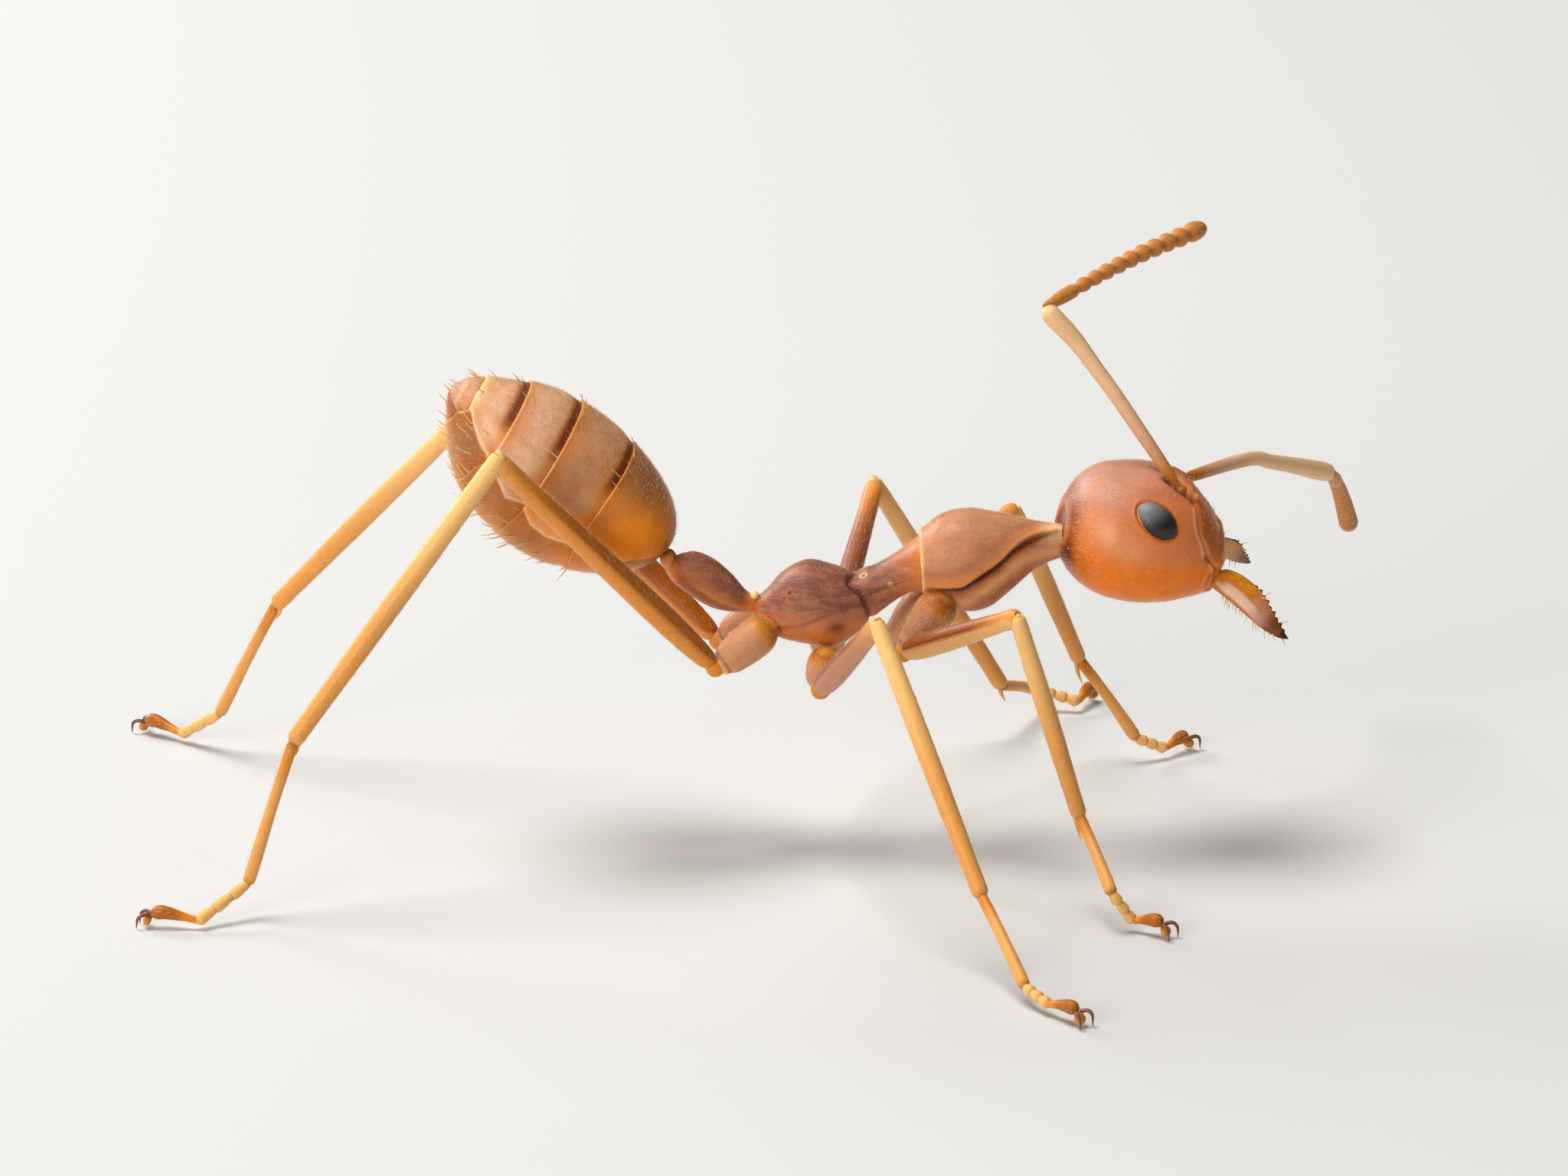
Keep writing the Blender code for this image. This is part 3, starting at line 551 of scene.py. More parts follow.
headShape = {
    "yaw": 10.0, "pitch": 11.5, "roll": 8.0,  # degrees: to the left, face down, left cheek up
    "squareness": 2.2, "stations": 170, "sides": 250,
    "ends": (0.04, 0.12, 16, 0.85),  # depth of the rear and front dome, rings, fullness
    "eye": (0.83, 0.62, 0.51),  # station, to its side, height
    "rows": (  # station, drop, rise, half width
        (0.03, 0.22, 0.4, 0.36), (0.13, 0.37, 0.57, 0.55), (0.3, 0.49, 0.71, 0.71),
        (0.5, 0.56, 0.78, 0.79), (0.85, 0.585, 0.83, 0.8), (1.18, 0.54, 0.77, 0.72),
        (1.38, 0.48, 0.615, 0.63), (1.53, 0.43, 0.475, 0.54), (1.61, 0.4, 0.37, 0.48)),
    "clypeusEdge": (  # angle round the face, station of its hind suture
        (-60, 1.66), (0, 1.62), (10, 1.55), (16, 1.47), (26, 1.42), (38, 1.32), (52, 1.29),
        (69, 1.255), (82, 1.215), (90, 1.205)),
    "lines": {  # width, places
        "carina": (0.03, ((0.93, 0.09, 0.815), (1.06, 0.12, 0.79), (1.18, 0.17, 0.73), (1.27, 0.23, 0.67))),
        "fossa": (0.062, ((0.96, 0.17, 0.8), (1.05, 0.24, 0.77), (1.16, 0.28, 0.7), (1.22, 0.31, 0.64))),
        "crest": (0.022, ((0.25, 0.2, -0.5), (0.8, 0.26, -0.56), (1.3, 0.32, -0.47), (1.6, 0.36, -0.33))),
        "pits": (0.034, ((1.46, 0.57, 0.16), (1.5, 0.55, 0.12)))},
    # cheekHighlight is a painted highlight behind and below the eye
    "patches": {"temple": (0.09, ((0.74, 0.44, 0.72), (1.04, 0.36, 0.74))),
                "cheekHighlight": (0.15, ((0.28, 0.66, 0.32), (0.62, 0.78, 0.2)))},
    "feelerRoot": (1.16, 0.2, 0.66), "jawRoot": (1.63, 0.4, -0.11),
    "relief": {  # how far each feature stands out
        "plate": 0.012, "suture": -0.012, "rim": 0.012, "keel": 0.008, "carina": 0.045, "fossa": -0.07,
        "frontLine": -0.006, "throat": -0.012, "crest": 0.008, "collar": 0.01, "moat": -0.008,
        "nape": -0.03, "orbit": -0.022, "orbitRim": 0.008, "pits": -0.022},
    "paint": {  # what each feature adds to the skin's masks
        "warm": {"all": 0.15, "cheek": 0.95, "plate": 0.6, "orbitRim": 0.9},
        # the crown's bloom is the colour of its down, partly painted sheen from the light above
        "bloom": {"crown": 0.75},
        # the pale patch behind the eye is a painted highlight
        "pale": {"rim": 0.35, "carina": 0.3, "crest": 0.25, "lowCollar": 0.15, "cheekHighlight": 0.3,
                 "paleSeam": 0.4},
        "dark": {"suture": 0.1, "fossa": 0.85, "moat": 0.25, "orbit": 0.35, "nape": 0.55,
                 "frontLine": 0.25, "throat": 0.25, "pits": 0.6, "rearRim": 0.65, "highPlate": 0.42,
                 "lowRear": 0.5, "temple": 0.2},
        "down": {"down": 1.0}, "bristle": {"bristle": 1.0}},
    "lobes": (  # upper lip and mouthparts: place, half sizes, masks
        ((1.7, 0.0, -0.02), (0.1, 0.2, 0.1), {"warm": 1.0}),
        ((1.66, 0.0, -0.17), (0.12, 0.17, 0.1), {"bloom": 0.6}),
        ((1.62, 0.11, -0.28), (0.11, 0.08, 0.08), {"warm": 0.6, "dark": 0.3}),
        ((1.62, -0.11, -0.28), (0.11, 0.08, 0.08), {"warm": 0.6, "dark": 0.3})),
}
eyeShape = {
    "along": 0.238, "out": 0.115, "across": 0.158, # half sizes
    "inset": 0.012,  # how far it sits in the head's skin
    "turn": 32.0, "lean": 38.0,  # degrees: long axis dips to the mouth, looks up
    "facetShare": 0.86, "facetRise": 0.025,
    "dark": (0.009, 0.005, 0.003), "highlightGrey": (0.27, 0.27, 0.28),
    "highlightWay": (-0.45, 0.0, 0.9), "highlightStart": -0.04, "highlightEnd": 0.26,  # painted highlight: the upper hind facets are painted light grey, as a reflection of the light above
}

# the head hangs on the middle of the two eyes
eyesMiddle = (boxMiddle("eye_right") + boxMiddle("eye_left")) / 2
headAxes = np.array(Matrix.Rotation(radians(headShape["yaw"]), 3, "Z")
                    @ Matrix.Rotation(radians(headShape["pitch"]), 3, "Y")
                    @ Matrix.Rotation(radians(headShape["roll"]), 3, "X"))
headPlace = (eyesMiddle - headAxes @ (np.array(headShape["eye"]) * (1, 0, 1)), headAxes)


def eyeAxes(side):
    # the eye's own axes in the head's frame: along, across and outward
    lean = radians(eyeShape["lean"])
    outward = np.array((0, side * cos(lean), sin(lean)))
    turn = np.array(Matrix.Rotation(radians(eyeShape["turn"]) * side, 3, Vector(outward)))
    along = turn @ (1, 0, 0)
    return along, np.cross(outward, along), outward


def eyeReach(points, side):
    # 1 on the outline of the eye, less inside it and more outside
    along, across, outward = eyeAxes(side)
    offset = points - np.array(headShape["eye"]) * (1, side, 1)
    reach = np.hypot(offset @ along / eyeShape["along"], offset @ across / eyeShape["across"])
    return reach + np.where(offset @ outward < -0.25, farAway, 0.0)


def makeHead():
    shape = headShape
    stations, drop, rise, halfWidth = stationRows(shape)
    grid = bodyRings(shape, stations, stations * 0, halfWidth, rise, drop)
    s, t, r = np.moveaxis(grid, -1, 0)
    angle = np.degrees(np.arctan2(r, np.abs(t)))
    ahead = s - np.interp(angle, *np.array(shape["clypeusEdge"]).T)
    face = ease(angle, -25, -5)  # the clypeus ends above the jaws
    plate = ease(ahead, 0.0, 0.06) * face
    lines = nearLines(grid, shape["lines"])
    fromJaw = bothSides(grid, shape["jawRoot"])
    reach = np.minimum(eyeReach(grid, -1), eyeReach(grid, 1))
    orbit = swell(reach - 1.06, 0.06)
    # the crown is the upper rear of the head, where the bloom colour is partly painted sheen from the light
    # above
    crown = ease(r - 0.5 * s, 0.05, 0.62)
    features = dict(
        lines, all=1.0, plate=plate, orbit=orbit, orbitRim=swell(reach - 1.14, 0.07),
        suture=swell(ahead, 0.02) * face,
        rim=swell(ahead + 0.04, 0.022) * face * ease(angle, 84, 60),
        keel=swell(t, 0.05) * ease(s, 1.22, 1.35) * ease(angle, 0, 40),
        frontLine=swell(t, 0.012) * ease(s, 0.55, 0.7) * ease(s, 1.2, 1.05) * ease(r, 0.3, 0.5),
        throat=swell(t, 0.03) * ease(r, 0.0, -0.2) * ease(s, 0.1, 0.3),
        collar=swell(fromJaw - 0.19, 0.03), moat=swell(fromJaw - 0.14, 0.028),
        lowCollar=swell(fromJaw - 0.19, 0.03) * ease(r, -0.35, -0.05),
        nape=ease(np.hypot(t, r - 0.05), 0.24, 0.16) * ease(s, 0.12, 0.0),
        cheek=ease(r - 0.03 * (s - 0.8), 0.26, -0.13), crown=crown * (1 - plate),
        paleSeam=swell(ahead + 0.005, 0.024) * face * ease(angle, 62, 40) * ease(angle, 8, 25),
        rearRim=swell(s - 0.04, 0.06), highPlate=plate * ease(r, -0.1, 0.25),
        lowRear=ease(s, 0.38, 0.05) * ease(r, 0.2, -0.2),
        down=(1 - orbit) * (1 - lines["fossa"]) * ease(reach, 1.0, 1.15) * (0.3 + 0.7 * crown),
        bristle=np.clip(ease(s, 1.2, 1.5) * face + 0.25 * ease(r, 0.3, 0.7), 0, 1) * ease(reach, 1.0, 1.2))
    features["fossa"] = lines["fossa"] * (1 - lines["carina"])
    grid = grid + gridNormals(grid) * weigh(features, shape["relief"])[..., None]
    features.update(nearLines(grid, shape["patches"]))
    skin = Skin()
    skin.add(grid, weighAll(features, shape["paint"]), headPlace, lieSign=-1.0)
    for place, size, masks in shape["lobes"]:
        skin.add(ballRings(place, size, 28), masks, headPlace)
    addSkin("headSkin", skin, headLook, "head_cuticle", "head")


def facetTree():
    # a six-sided facet for each point of a ball, raised and narrowed twice into a dome
    graph, given = newTree("facets", {"Ball": "Geometry", "Facet Share": "Float", "Facet Rise": "Float",
                                      "Material": "Material"}, "Eye")
    facets = graph.node("GeometryNodeDualMesh", None, {0: given["Ball"]})
    for share, rise in ((0.9, 0.6), (0.85, 0.4)):
        facets = graph.node("GeometryNodeExtrudeMesh", None,
                            {"Mesh": facets, "Offset Scale": given["Facet Rise"] * rise})
        facets = graph.node("GeometryNodeScaleElements", None,
                            {"Geometry": facets, "Selection": facets.other("Top"),
                             "Scale": given["Facet Share"] * share})
    return closeTree(graph, graph.node("GeometryNodeRealizeInstances", None, {0: facets}), given["Material"])


def makeEyes():
    tree = facetTree()
    up = headAxes @ eyeShape["highlightWay"]
    level = up @ (eyesMiddle + bodyOrigin)
    # painted highlight: the lens turns light grey towards its upper hind facets
    lensLook = makeGloss("eyeLens", eyeShape["dark"], 0.34, (
        eyeShape["highlightGrey"], tuple(up), level + eyeShape["highlightStart"], level + eyeShape["highlightEnd"]))
    for label, side in sides.items():
        node = "eye_" + label.lower()
        bpy.ops.mesh.primitive_ico_sphere_add(subdivisions=4, radius=1.0)
        mesh = fromNodes(bpy.context.object, tree, {
            "Facet Share": eyeShape["facetShare"], "Facet Rise": eyeShape["facetRise"], "Material": lensLook})
        along, across, outward = (headAxes @ axis for axis in eyeAxes(side))
        axes = np.column_stack([along * eyeShape["along"], across * eyeShape["across"],
                                outward * eyeShape["out"]]) * metresPerMm
        centre = (boxMiddle(node) - outward * eyeShape["inset"] + bodyOrigin) * metresPerMm
        mesh.transform(Matrix.Translation(Vector(centre)) @ Matrix(axes.tolist()).to_4x4())
        mesh.name = "eyeLens" + label
        mesh.shade_smooth()
        addPiece("eyeLens" + label, mesh, "eye_lens", node)


makeHead()
makeEyes()
print("head and eyes ready")


# jaws

jawShape = {
    "length": 1.02, "thickness": 0.17, "bow": 0.042,
    "spread": {"Right": 30.0, "Left": 38.0}, "drop": 19.0, "roll": 58.0,  # degrees
    "rows": (  # share of length, outer edge, inner edge
        (0.0, -0.11, 0.14), (0.1, -0.11, 0.185), (0.22, -0.11, 0.215), (0.36, -0.117, 0.215),
        (0.5, -0.128, 0.18), (0.62, -0.135, 0.13), (0.75, -0.133, 0.068), (0.87, -0.112, 0.014),
        (0.95, -0.08, -0.014), (1.0, -0.045, -0.025)),
    "teeth": 9, "firstTooth": 0.38, "lastTooth": 0.93, "toothHeight": 0.042, "sawPeak": 0.7,
    "sections": 220, "around": 64,
    "paint": {
        # the pale strip is a painted highlight on the blade's outer face; the blush is mauve colour with
        # painted sheen
        "warm": {"root": 1.0, "band": 0.8}, "bloom": {"blushAndSheen": 0.65, "highlightStrip": 0.3},
        "pale": {"highlightStripRoot": 0.5}, "down": {"downy": 0.25}, "bristle": {"spiny": 1.0},
        "dark": {"tip": 0.74, "point": 0.6, "toothBases": 1.0, "toothEdge": 0.5}},
}


def jawAxes(label, side):
    # along the blade, across it to the toothed edge, and square to its face, in the head's frame
    spread, drop, roll = (radians(angle) for angle in (
        jawShape["spread"][label], jawShape["drop"], jawShape["roll"]))
    along = np.array((cos(spread) * cos(drop), side * sin(spread) * cos(drop), -sin(drop)))
    medial, raised = (unit(way - along * (way @ along)) for way in np.array(((0, -side, 0), (0, 0, 1))))
    inner = medial * cos(roll) + raised * sin(roll)
    return along, inner, np.cross(along, inner)


def makeJaw(label, side):
    shape = jawShape
    along, inner, face = jawAxes(label, side)
    shares = (0.5 - 0.5 * np.cos(np.linspace(0, pi, shape["sections"])))[:, None]
    low, high = blendRows(shape["rows"], shares[:, 0])[..., None]
    phase = (shares - shape["firstTooth"]) / (shape["lastTooth"] - shape["firstTooth"])
    cycle = phase * shape["teeth"] % 1.0
    saw = np.where(cycle < shape["sawPeak"], cycle / shape["sawPeak"], (1 - cycle) / (1 - shape["sawPeak"]))
    size = 0.55 + 0.45 * (np.floor(phase * shape["teeth"]) % 2)
    tooth = np.where((phase > 0) & (phase < 1), saw * size * shape["toothHeight"], 0.0)
    angles = np.linspace(0, 2 * pi, shape["around"], endpoint=False)
    c, s = np.cos(angles), np.sin(angles)
    toothed = np.clip(c, 0, 1)
    ends = (shares - 0.5) * 2
    thick, closed = (np.sqrt(np.clip(1 - ends**power, 0.0004, 1)) for power in (12, 20))
    thick = thick * shape["thickness"] / 2 * (1 - 0.62 * shares)
    across = (low + high) / 2 + (high - low) / 2 * closed * c + tooth * toothed ** 10
    # thinner towards the toothed edge; the blade bows outwards and its tip comes back
    bulge = (thick * np.sign(s) * np.abs(s) ** 0.9 * (1 - 0.55 * toothed ** 2)
             - np.sin(shares * pi) * side * shape["bow"])
    grid = (np.array(headShape["jawRoot"]) * (1, side, 1) + (shares * shape["length"])[..., None] * along
            + across[..., None] * inner + bulge[..., None] * face)
    outside = ease(-side * s, -0.1, 0.5)
    # painted highlight: a pale strip along the middle of the blade's outer face
    highlightStrip = outside * ease(c, 0.05, -0.2) * ease(-c, 0.92, 0.7) * ease(shares, 0.1, 0.2)
    spiny = (ease(-c, 0.86, 0.97) * ease(shares, 0.16, 0.2)
             + 0.6 * ease(c, 0.8, 0.9) * ease(shares, 0.45, 0.5))
    features = dict(
        root=(1 - ease(shares, 0.5, 0.72)) * (0.35 + 0.65 * ease(c, -0.1, 0.4)),
        band=ease(shares, 0.74, 0.8), highlightStrip=highlightStrip, highlightStripRoot=highlightStrip * ease(shares, 0.68, 0.45),
        blushAndSheen=outside * swell(shares - 0.62, 0.12) * (1 - 0.3 * toothed),
        tip=ease(shares, 0.66, 0.8), point=ease(shares, 0.88, 0.96),
        toothBases=ease(toothed, 0.9, 0.995) * ease(shares, 0.3, 0.42),
        toothEdge=ease(toothed, 0.93, 0.99), downy=1 - ease(shares, 0.5, 0.7),
        spiny=np.clip(spiny, 0, 1) * ease(shares, 0.95, 0.9))
    skin = Skin()
    skin.add(grid, weighAll(features, shape["paint"]), headPlace)
    addSkin("mandibleBlade" + label, skin, jawLook, "mandible_cuticle", "mandible_" + label.lower())


for label, side in sides.items():
    makeJaw(label, side)
print("jaws ready")


# feelers

feelerShape = {
    "scape": ((0.0, 0.075), (0.025, 0.08), (0.05, 0.05), (0.1, 0.06), (0.35, 0.072),
              (0.7, 0.082), (0.92, 0.102), (1.0, 0.095)),  # share, radius
    "joints": (0.56, 0.2, 0.2, 0.2, 0.21, 0.21, 0.21, 0.21, 0.22, 0.22, 0.36),
    "radii": (0.072, 0.105),  # of the first and the last joint of the whip
    "joint": ((0.0, 0.6), (0.12, 0.66), (0.5, 1.0), (0.9, 1.02), (1.0, 0.8)),
    "tip": ((0.0, 0.6), (0.1, 0.66), (0.35, 1.0), (0.7, 0.9), (1.0, 0.45)),
    "reach": 0.21,
}


def makeFeeler(label, side):
    shape, node = feelerShape, label.lower()
    root = headPlace[0] + headAxes @ (np.array(headShape["feelerRoot"]) * (1, side, 1))
    scapeLine = middleLine("scape_" + node, (0.45, 0.6, 0.75, 0.88), root)
    whipLine = middleLine("funiculus_" + node, (0.15, 0.35, 0.6, 0.85), scapeLine[-1])
    elbow = meeting(scapeLine[-2:], whipLine[:2])
    rings, shares = limbRings([root, *scapeLine, elbow], shape["scape"], 150, 28)
    skin = Skin()
    skin.add(rings, {"warm": 1.0 - ease(shares, 0.08, 0.3),
                     "pale": 0.5 * ease(shares, 0.15, 0.6) + 0.2 * ease(shares, 0.8, 1.0),
                     "bloom": 0.6 * ease(shares, 0.1, 0.3) * (1 - ease(shares, 0.75, 0.95)),
                     "dark": 0.45 * (1 - ease(shares, 0.03, 0.18)) + 0.3 * swell(shares - 0.045, 0.012),
                     "down": ease(shares, 0.05, 0.1)})
    addSkin("scape" + label, skin, antennaLook, "antenna_cuticle", "scape_" + node)

    far = whipLine[-1] + unit(whipLine[-1] - whipLine[-2]) * shape["reach"]
    route = smoothPath([elbow, *whipLine, far], 300)
    lengths = np.array(shape["joints"])
    last = len(lengths) - 1
    routeLength = pathPlaces(route, 1.0)[1]
    ends = np.concatenate([[0], np.cumsum(lengths)]) / lengths.sum() * routeLength
    skin = Skin()
    for k in range(len(lengths)):
        # each joint reaches a little way into its neighbours
        stretch = np.linspace(ends[k] - (0.02 if k else 0.03), ends[k + 1] + (0.01 if k < last else 0), 8)
        radius = shape["radii"][0] * (1 - k / last) + shape["radii"][1] * k / last
        rows = [(share, radius * part) for share, part in shape["joint" if k < last else "tip"]]
        rings, shares = limbRings(pathPlaces(route, stretch / routeLength)[0], rows, 26, 22)
        skin.add(rings, {"warm": 0.75 + 0.2 * ease(shares, 0.2, 0.0), "dark": 0.45 * ease(shares, 0.12, 0.0),
                         "pale": 0.25 * swell(shares - 0.92, 0.06), "down": 1.0})
    addSkin("funiculus" + label, skin, antennaLook, "antenna_cuticle", "funiculus_" + node)


for label, side in sides.items():
    makeFeeler(label, side)
print("feelers ready")


# trunk

trunkShape = {
    "squareness": 2.3, "stations": 330, "sides": 180, "ends": (0.03, 0.03, 6, 0.6),
    "rows": (  # station, underside, back, half width
        (-0.14, 2.53, 2.71, 0.11), (-0.03, 2.38, 2.8, 0.24), (0.12, 2.3, 2.97, 0.35),
        (0.38, 2.24, 3.11, 0.41), (0.66, 2.2, 3.06, 0.4), (0.9, 2.34, 2.99, 0.33),
        (1.1, 2.54, 3.07, 0.25), (1.34, 2.71, 3.24, 0.27), (1.58, 2.79, 3.45, 0.37),
        (1.78, 2.68, 3.61, 0.46), (2.05, 2.59, 3.675, 0.49), (2.3, 2.64, 3.65, 0.44),
        (2.55, 2.84, 3.6, 0.35), (2.8, 3.06, 3.55, 0.25), (3.05, 3.17, 3.52, 0.2)),
    "shieldMargin": ((2.98, 0.12, 3.51), (2.8, 0.19, 3.49), (2.59, 0.3, 3.41), (2.39, 0.4, 3.24),
                     (2.19, 0.46, 3.11), (2.03, 0.48, 3.0), (1.88, 0.47, 2.97), (1.7, 0.42, 2.95),
                     (1.6, 0.36, 2.92)),
    "gutterDrop": 0.06,  # how far the gutter runs below that margin
    "collar": (1.58, 3.1, 4.0),  # station, height and lean of the suture behind the shield
    "lines": {  # width, places, stretch
        "groove": (0.034, ((0.9, 0.0, 3.02), (0.84, 0.14, 2.98), (0.83, 0.22, 2.93), (0.9, 0.27, 2.88),
                           (0.97, 0.28, 2.82), (1.02, 0.28, 2.72), (1.05, 0.2, 2.58), (1.04, 0.0, 2.5))),
        "flank": (0.028, ((0.97, 0.27, 2.76), (0.66, 0.38, 2.66), (0.34, 0.4, 2.52), (0.06, 0.3, 2.47))),
        "sideLine": (0.016, ((1.52, 0.3, 3.02), (1.3, 0.26, 2.93), (1.06, 0.26, 2.84))),
        "hump": (0.07, (1.0, 0.0, 3.05), (1.0, 0.6, 1.0)),
        "gland": (0.11, (0.72, 0.38, 2.5), (1.0, 1.0, 1.5))},
    "breathingHoles": (((0.98, 0.13, 3.0), 0.032), ((1.26, 0.25, 2.94), 0.016),
                       ((0.22, 0.33, 2.86), 0.034)),
    "relief": {"ledge": -0.034, "lip": 0.012, "ridge": 0.02, "gutter": -0.05, "lobe": -0.018,
               "groove": -0.042, "flank": -0.02, "sideLine": -0.012, "hump": 0.03, "holeRing": 0.012,
               "holePit": -0.02, "gland": -0.03, "midline": -0.004},
    "paint": {
        # rearBelow is warmer low on the rear, partly painted shade
        "warm": {"ridge": 1.2, "aboveRidge": 0.9, "rearBelow": 0.9, "rearEnd": 0.8, "middle": 0.9,
                 "lobe": 0.55, "shieldSide": 0.45, "holeRing": 0.7},
        # on rearBack and the shield's top the bloom colour is partly painted sheen from the light above
        "bloom": {"rearBack": 0.85, "lobe": 0.36, "shieldTop": 0.14, "shieldCrown": 0.24},
        # the pale band on the propleuron lobe is a painted highlight streak
        "pale": {"shieldTop": 0.13, "lobeHighlight": 0.34, "paleLip": 0.75, "ridgeTop": 0.34,
                 "frontRings": 0.9, "neckTop": 0.85},
        # painted shade: darker in the gutter under the shield's margin, next to it on the lobe, in the groove
        # and low on the rear
        "dark": {"seam": 0.55, "gutter": 0.75, "groove": 0.6, "flank": 0.35, "sideLine": 0.3,
                 "holePit": 0.9, "gland": 0.75, "midline": 0.2, "rearTop": 0.25, "rearUnderShade": 0.3,
                 "lobeEdges": 0.5, "besideRidge": 0.22},
        "down": {"all": 1.0, "groove": -1.0, "gutter": -1.0},
        "bristle": {"upward": 0.5, "lobe": 0.3}},
}


def makeTrunk():
    shape = trunkShape
    stations, underside, back, halfWidth = stationRows(shape)
    half = (back - underside) / 2
    grid = bodyRings(shape, stations, underside + half, halfWidth, half, half)
    normals = gridNormals(grid)
    x, y, z = np.moveaxis(grid, -1, 0)
    station, height, lean = shape["collar"]
    behind = (station - x) * cos(radians(lean)) - (z - height) * sin(radians(lean))
    shield = ease(behind, 0.004, -0.004)  # 1 on the prothorax
    margin = smoothPath(shape["shieldMargin"], 60)
    marginHeight = np.interp(x, margin[::-1, 0], margin[::-1, 2])
    fall = marginHeight - z  # how far below the margin of the shield
    above = shield * ease(fall, 0.03, -0.03)
    lobe = shield * (1 - ease(fall, 0.03, -0.03)) * ease(x, 1.62, 1.75)
    edge = bothSides(grid, shape["shieldMargin"])
    under = bothSides(grid, np.array(shape["shieldMargin"]) - (0, 0, shape["gutterDrop"]))
    lip = swell(behind + 0.018, 0.022)
    rearHalf = 1 - ease(x, 1.0, 1.7)
    holes = [(bothSides(grid, place), size) for place, size in shape["breathingHoles"]]
    holeRing = np.max([swell(away - size, size * 0.5) for away, size in holes], axis=0)
    features = dict(
        nearLines(grid, shape["lines"]), all=1.0, lip=lip, lobe=lobe, holeRing=holeRing, shieldTop=above,
        ledge=(1 - shield) * ease(behind, 0.5, 0.02), ridge=swell(edge, 0.026) * shield,
        gutter=swell(under, 0.032) * shield * ease(x, 1.7, 1.8),
        holePit=np.max([swell(away, size * 0.55) for away, size in holes], axis=0),
        midline=swell(y, 0.02) * shield * ease(z, 3.2, 3.4), rearEnd=ease(x, 0.02, -0.12),
        aboveRidge=swell(edge - 0.045, 0.06) * above, rearBelow=ease(z, 2.62, 2.36) * rearHalf,
        middle=(1 - shield) * (1 - rearHalf), shieldSide=shield * ease(z, 3.2, 2.95),
        # the bloom on the upper rear and the shield's crown is partly painted sheen from above
        rearBack=rearHalf * ease(z, 2.48, 2.78), shieldCrown=above * ease(z, 3.1, 3.6),
        # a painted highlight streak along the middle of the propleuron lobe
        lobeHighlight=lobe * swell(fall - 0.22, 0.07), paleLip=lip * (1 - 0.4 * ease(z, 3.1, 3.5)),
        ridgeTop=swell(edge, 0.014) * shield, frontRings=holeRing * ease(x, 0.85, 0.9),
        neckTop=ease(x, 2.74, 3.0) * ease(z, 3.34, 3.44) * ease(z, 3.6, 3.52),
        seam=swell(behind - 0.012, 0.01), rearTop=rearHalf * ease(z, 2.5, 2.8),
        # painted shade low on the rear, and under the shield's margin along the lobe's edges
        rearUnderShade=rearHalf * ease(z, 2.6, 2.36),
        lobeEdges=lobe * (ease(fall, 0.17, 0.06) + ease(fall, 0.28, 0.42)),
        besideRidge=above * swell(edge - 0.15, 0.05), upward=ease(normals[..., 2], 0.3, 0.8))
    grid = grid + normals * weigh(features, shape["relief"])[..., None]
    skin = Skin()
    skin.add(grid, weighAll(features, shape["paint"]), lieSign=-1.0)
    addSkin("trunkSkin", skin, trunkLook, "trunk_cuticle", "prothorax", "mesothorax", "propodeum")


# waist

waistShape = {
    "rows": (  # station, height of the middle, half height, half width
        (-1.04, 3.1, 0.06, 0.07), (-0.98, 3.085, 0.12, 0.13), (-0.88, 3.05, 0.19, 0.19),
        (-0.7, 2.94, 0.22, 0.22), (-0.5, 2.79, 0.2, 0.2), (-0.34, 2.69, 0.14, 0.15),
        (-0.22, 2.65, 0.095, 0.11), (-0.15, 2.62, 0.07, 0.09)),
    "lean": 38.0, "squareness": 2.15, "stations": 90, "sides": 90, "ends": (0.03, 0.03, 4, 0.6),
    "lines": {"ridge": (0.022, ((-0.95, 0.12, 3.02), (-0.7, 0.21, 2.86), (-0.45, 0.18, 2.7),
                                (-0.28, 0.11, 2.63)))},
    "relief": {"ridge": 0.012, "keel": 0.02},
    "paint": {
        # painted shade: flank and belly make the petiole's underside warmer and darker; back carries bloom
        # with painted sheen
        "warm": {"ends": 1.0, "flank": 0.8}, "bloom": {"back": 0.75}, "pale": {"ridge": 0.3, "keel": 0.15},
        "dark": {"middle": 0.25, "summit": 0.25, "belly": 0.3}, "down": {"all": 1.0},
        "bristle": {"top": 0.6}},
    "knobs": (  # place, half sizes, masks
        ((-0.16, 0.0, 2.735), (0.05, 0.07, 0.045), {"pale": 0.9}),
        ((-1.06, 0.0, 3.13), (0.09, 0.12, 0.11), {"warm": 0.9, "pale": 0.2})),
}


def makeWaist():
    shape = waistShape
    stations, height, halfHeight, halfWidth = stationRows(shape)
    up = np.array((sin(radians(shape["lean"])), 0, cos(radians(shape["lean"]))))
    grid = bodyRings(shape, stations, height, halfWidth, halfHeight, halfHeight, up)
    grid = grid + boxMiddle("petiole") - (grid.max((0, 1)) + grid.min((0, 1))) / 2
    normals = gridNormals(grid)
    rise = normals @ up
    features = nearLines(grid, shape["lines"])
    features["keel"] = swell(grid[..., 1], 0.03) * ease(-rise, 0.4, 0.8)
    grid = grid + normals * weigh(features, shape["relief"])[..., None]
    x = grid[..., 0]
    ends = np.maximum(ease(x, -0.3, -0.18), ease(x, -0.93, -1.03))
    features.update(
        # painted light: back gets bloom with painted sheen on top; flank and belly darken and warm the
        # underside as shade
        all=1.0, ends=ends, middle=1 - ends, back=ease(rise, -0.2, 0.5) * (1 - ends),
        summit=ease(rise, 0.75, 1.0) * (1 - ends), belly=ease(rise, 0.0, -0.6) * (1 - ends),
        flank=ease(rise, 0.2, -0.4), top=ease(rise, 0.2, 0.8))
    skin = Skin()
    skin.add(grid, weighAll(features, shape["paint"]), lieSign=-1.0)
    for place, size, masks in shape["knobs"]:
        skin.add(ballRings(place, size, 24), masks)
    addSkin("petioleSkin", skin, trunkLook, "trunk_cuticle", "petiole")


makeTrunk()
makeWaist()
print("trunk and waist ready")


# gaster

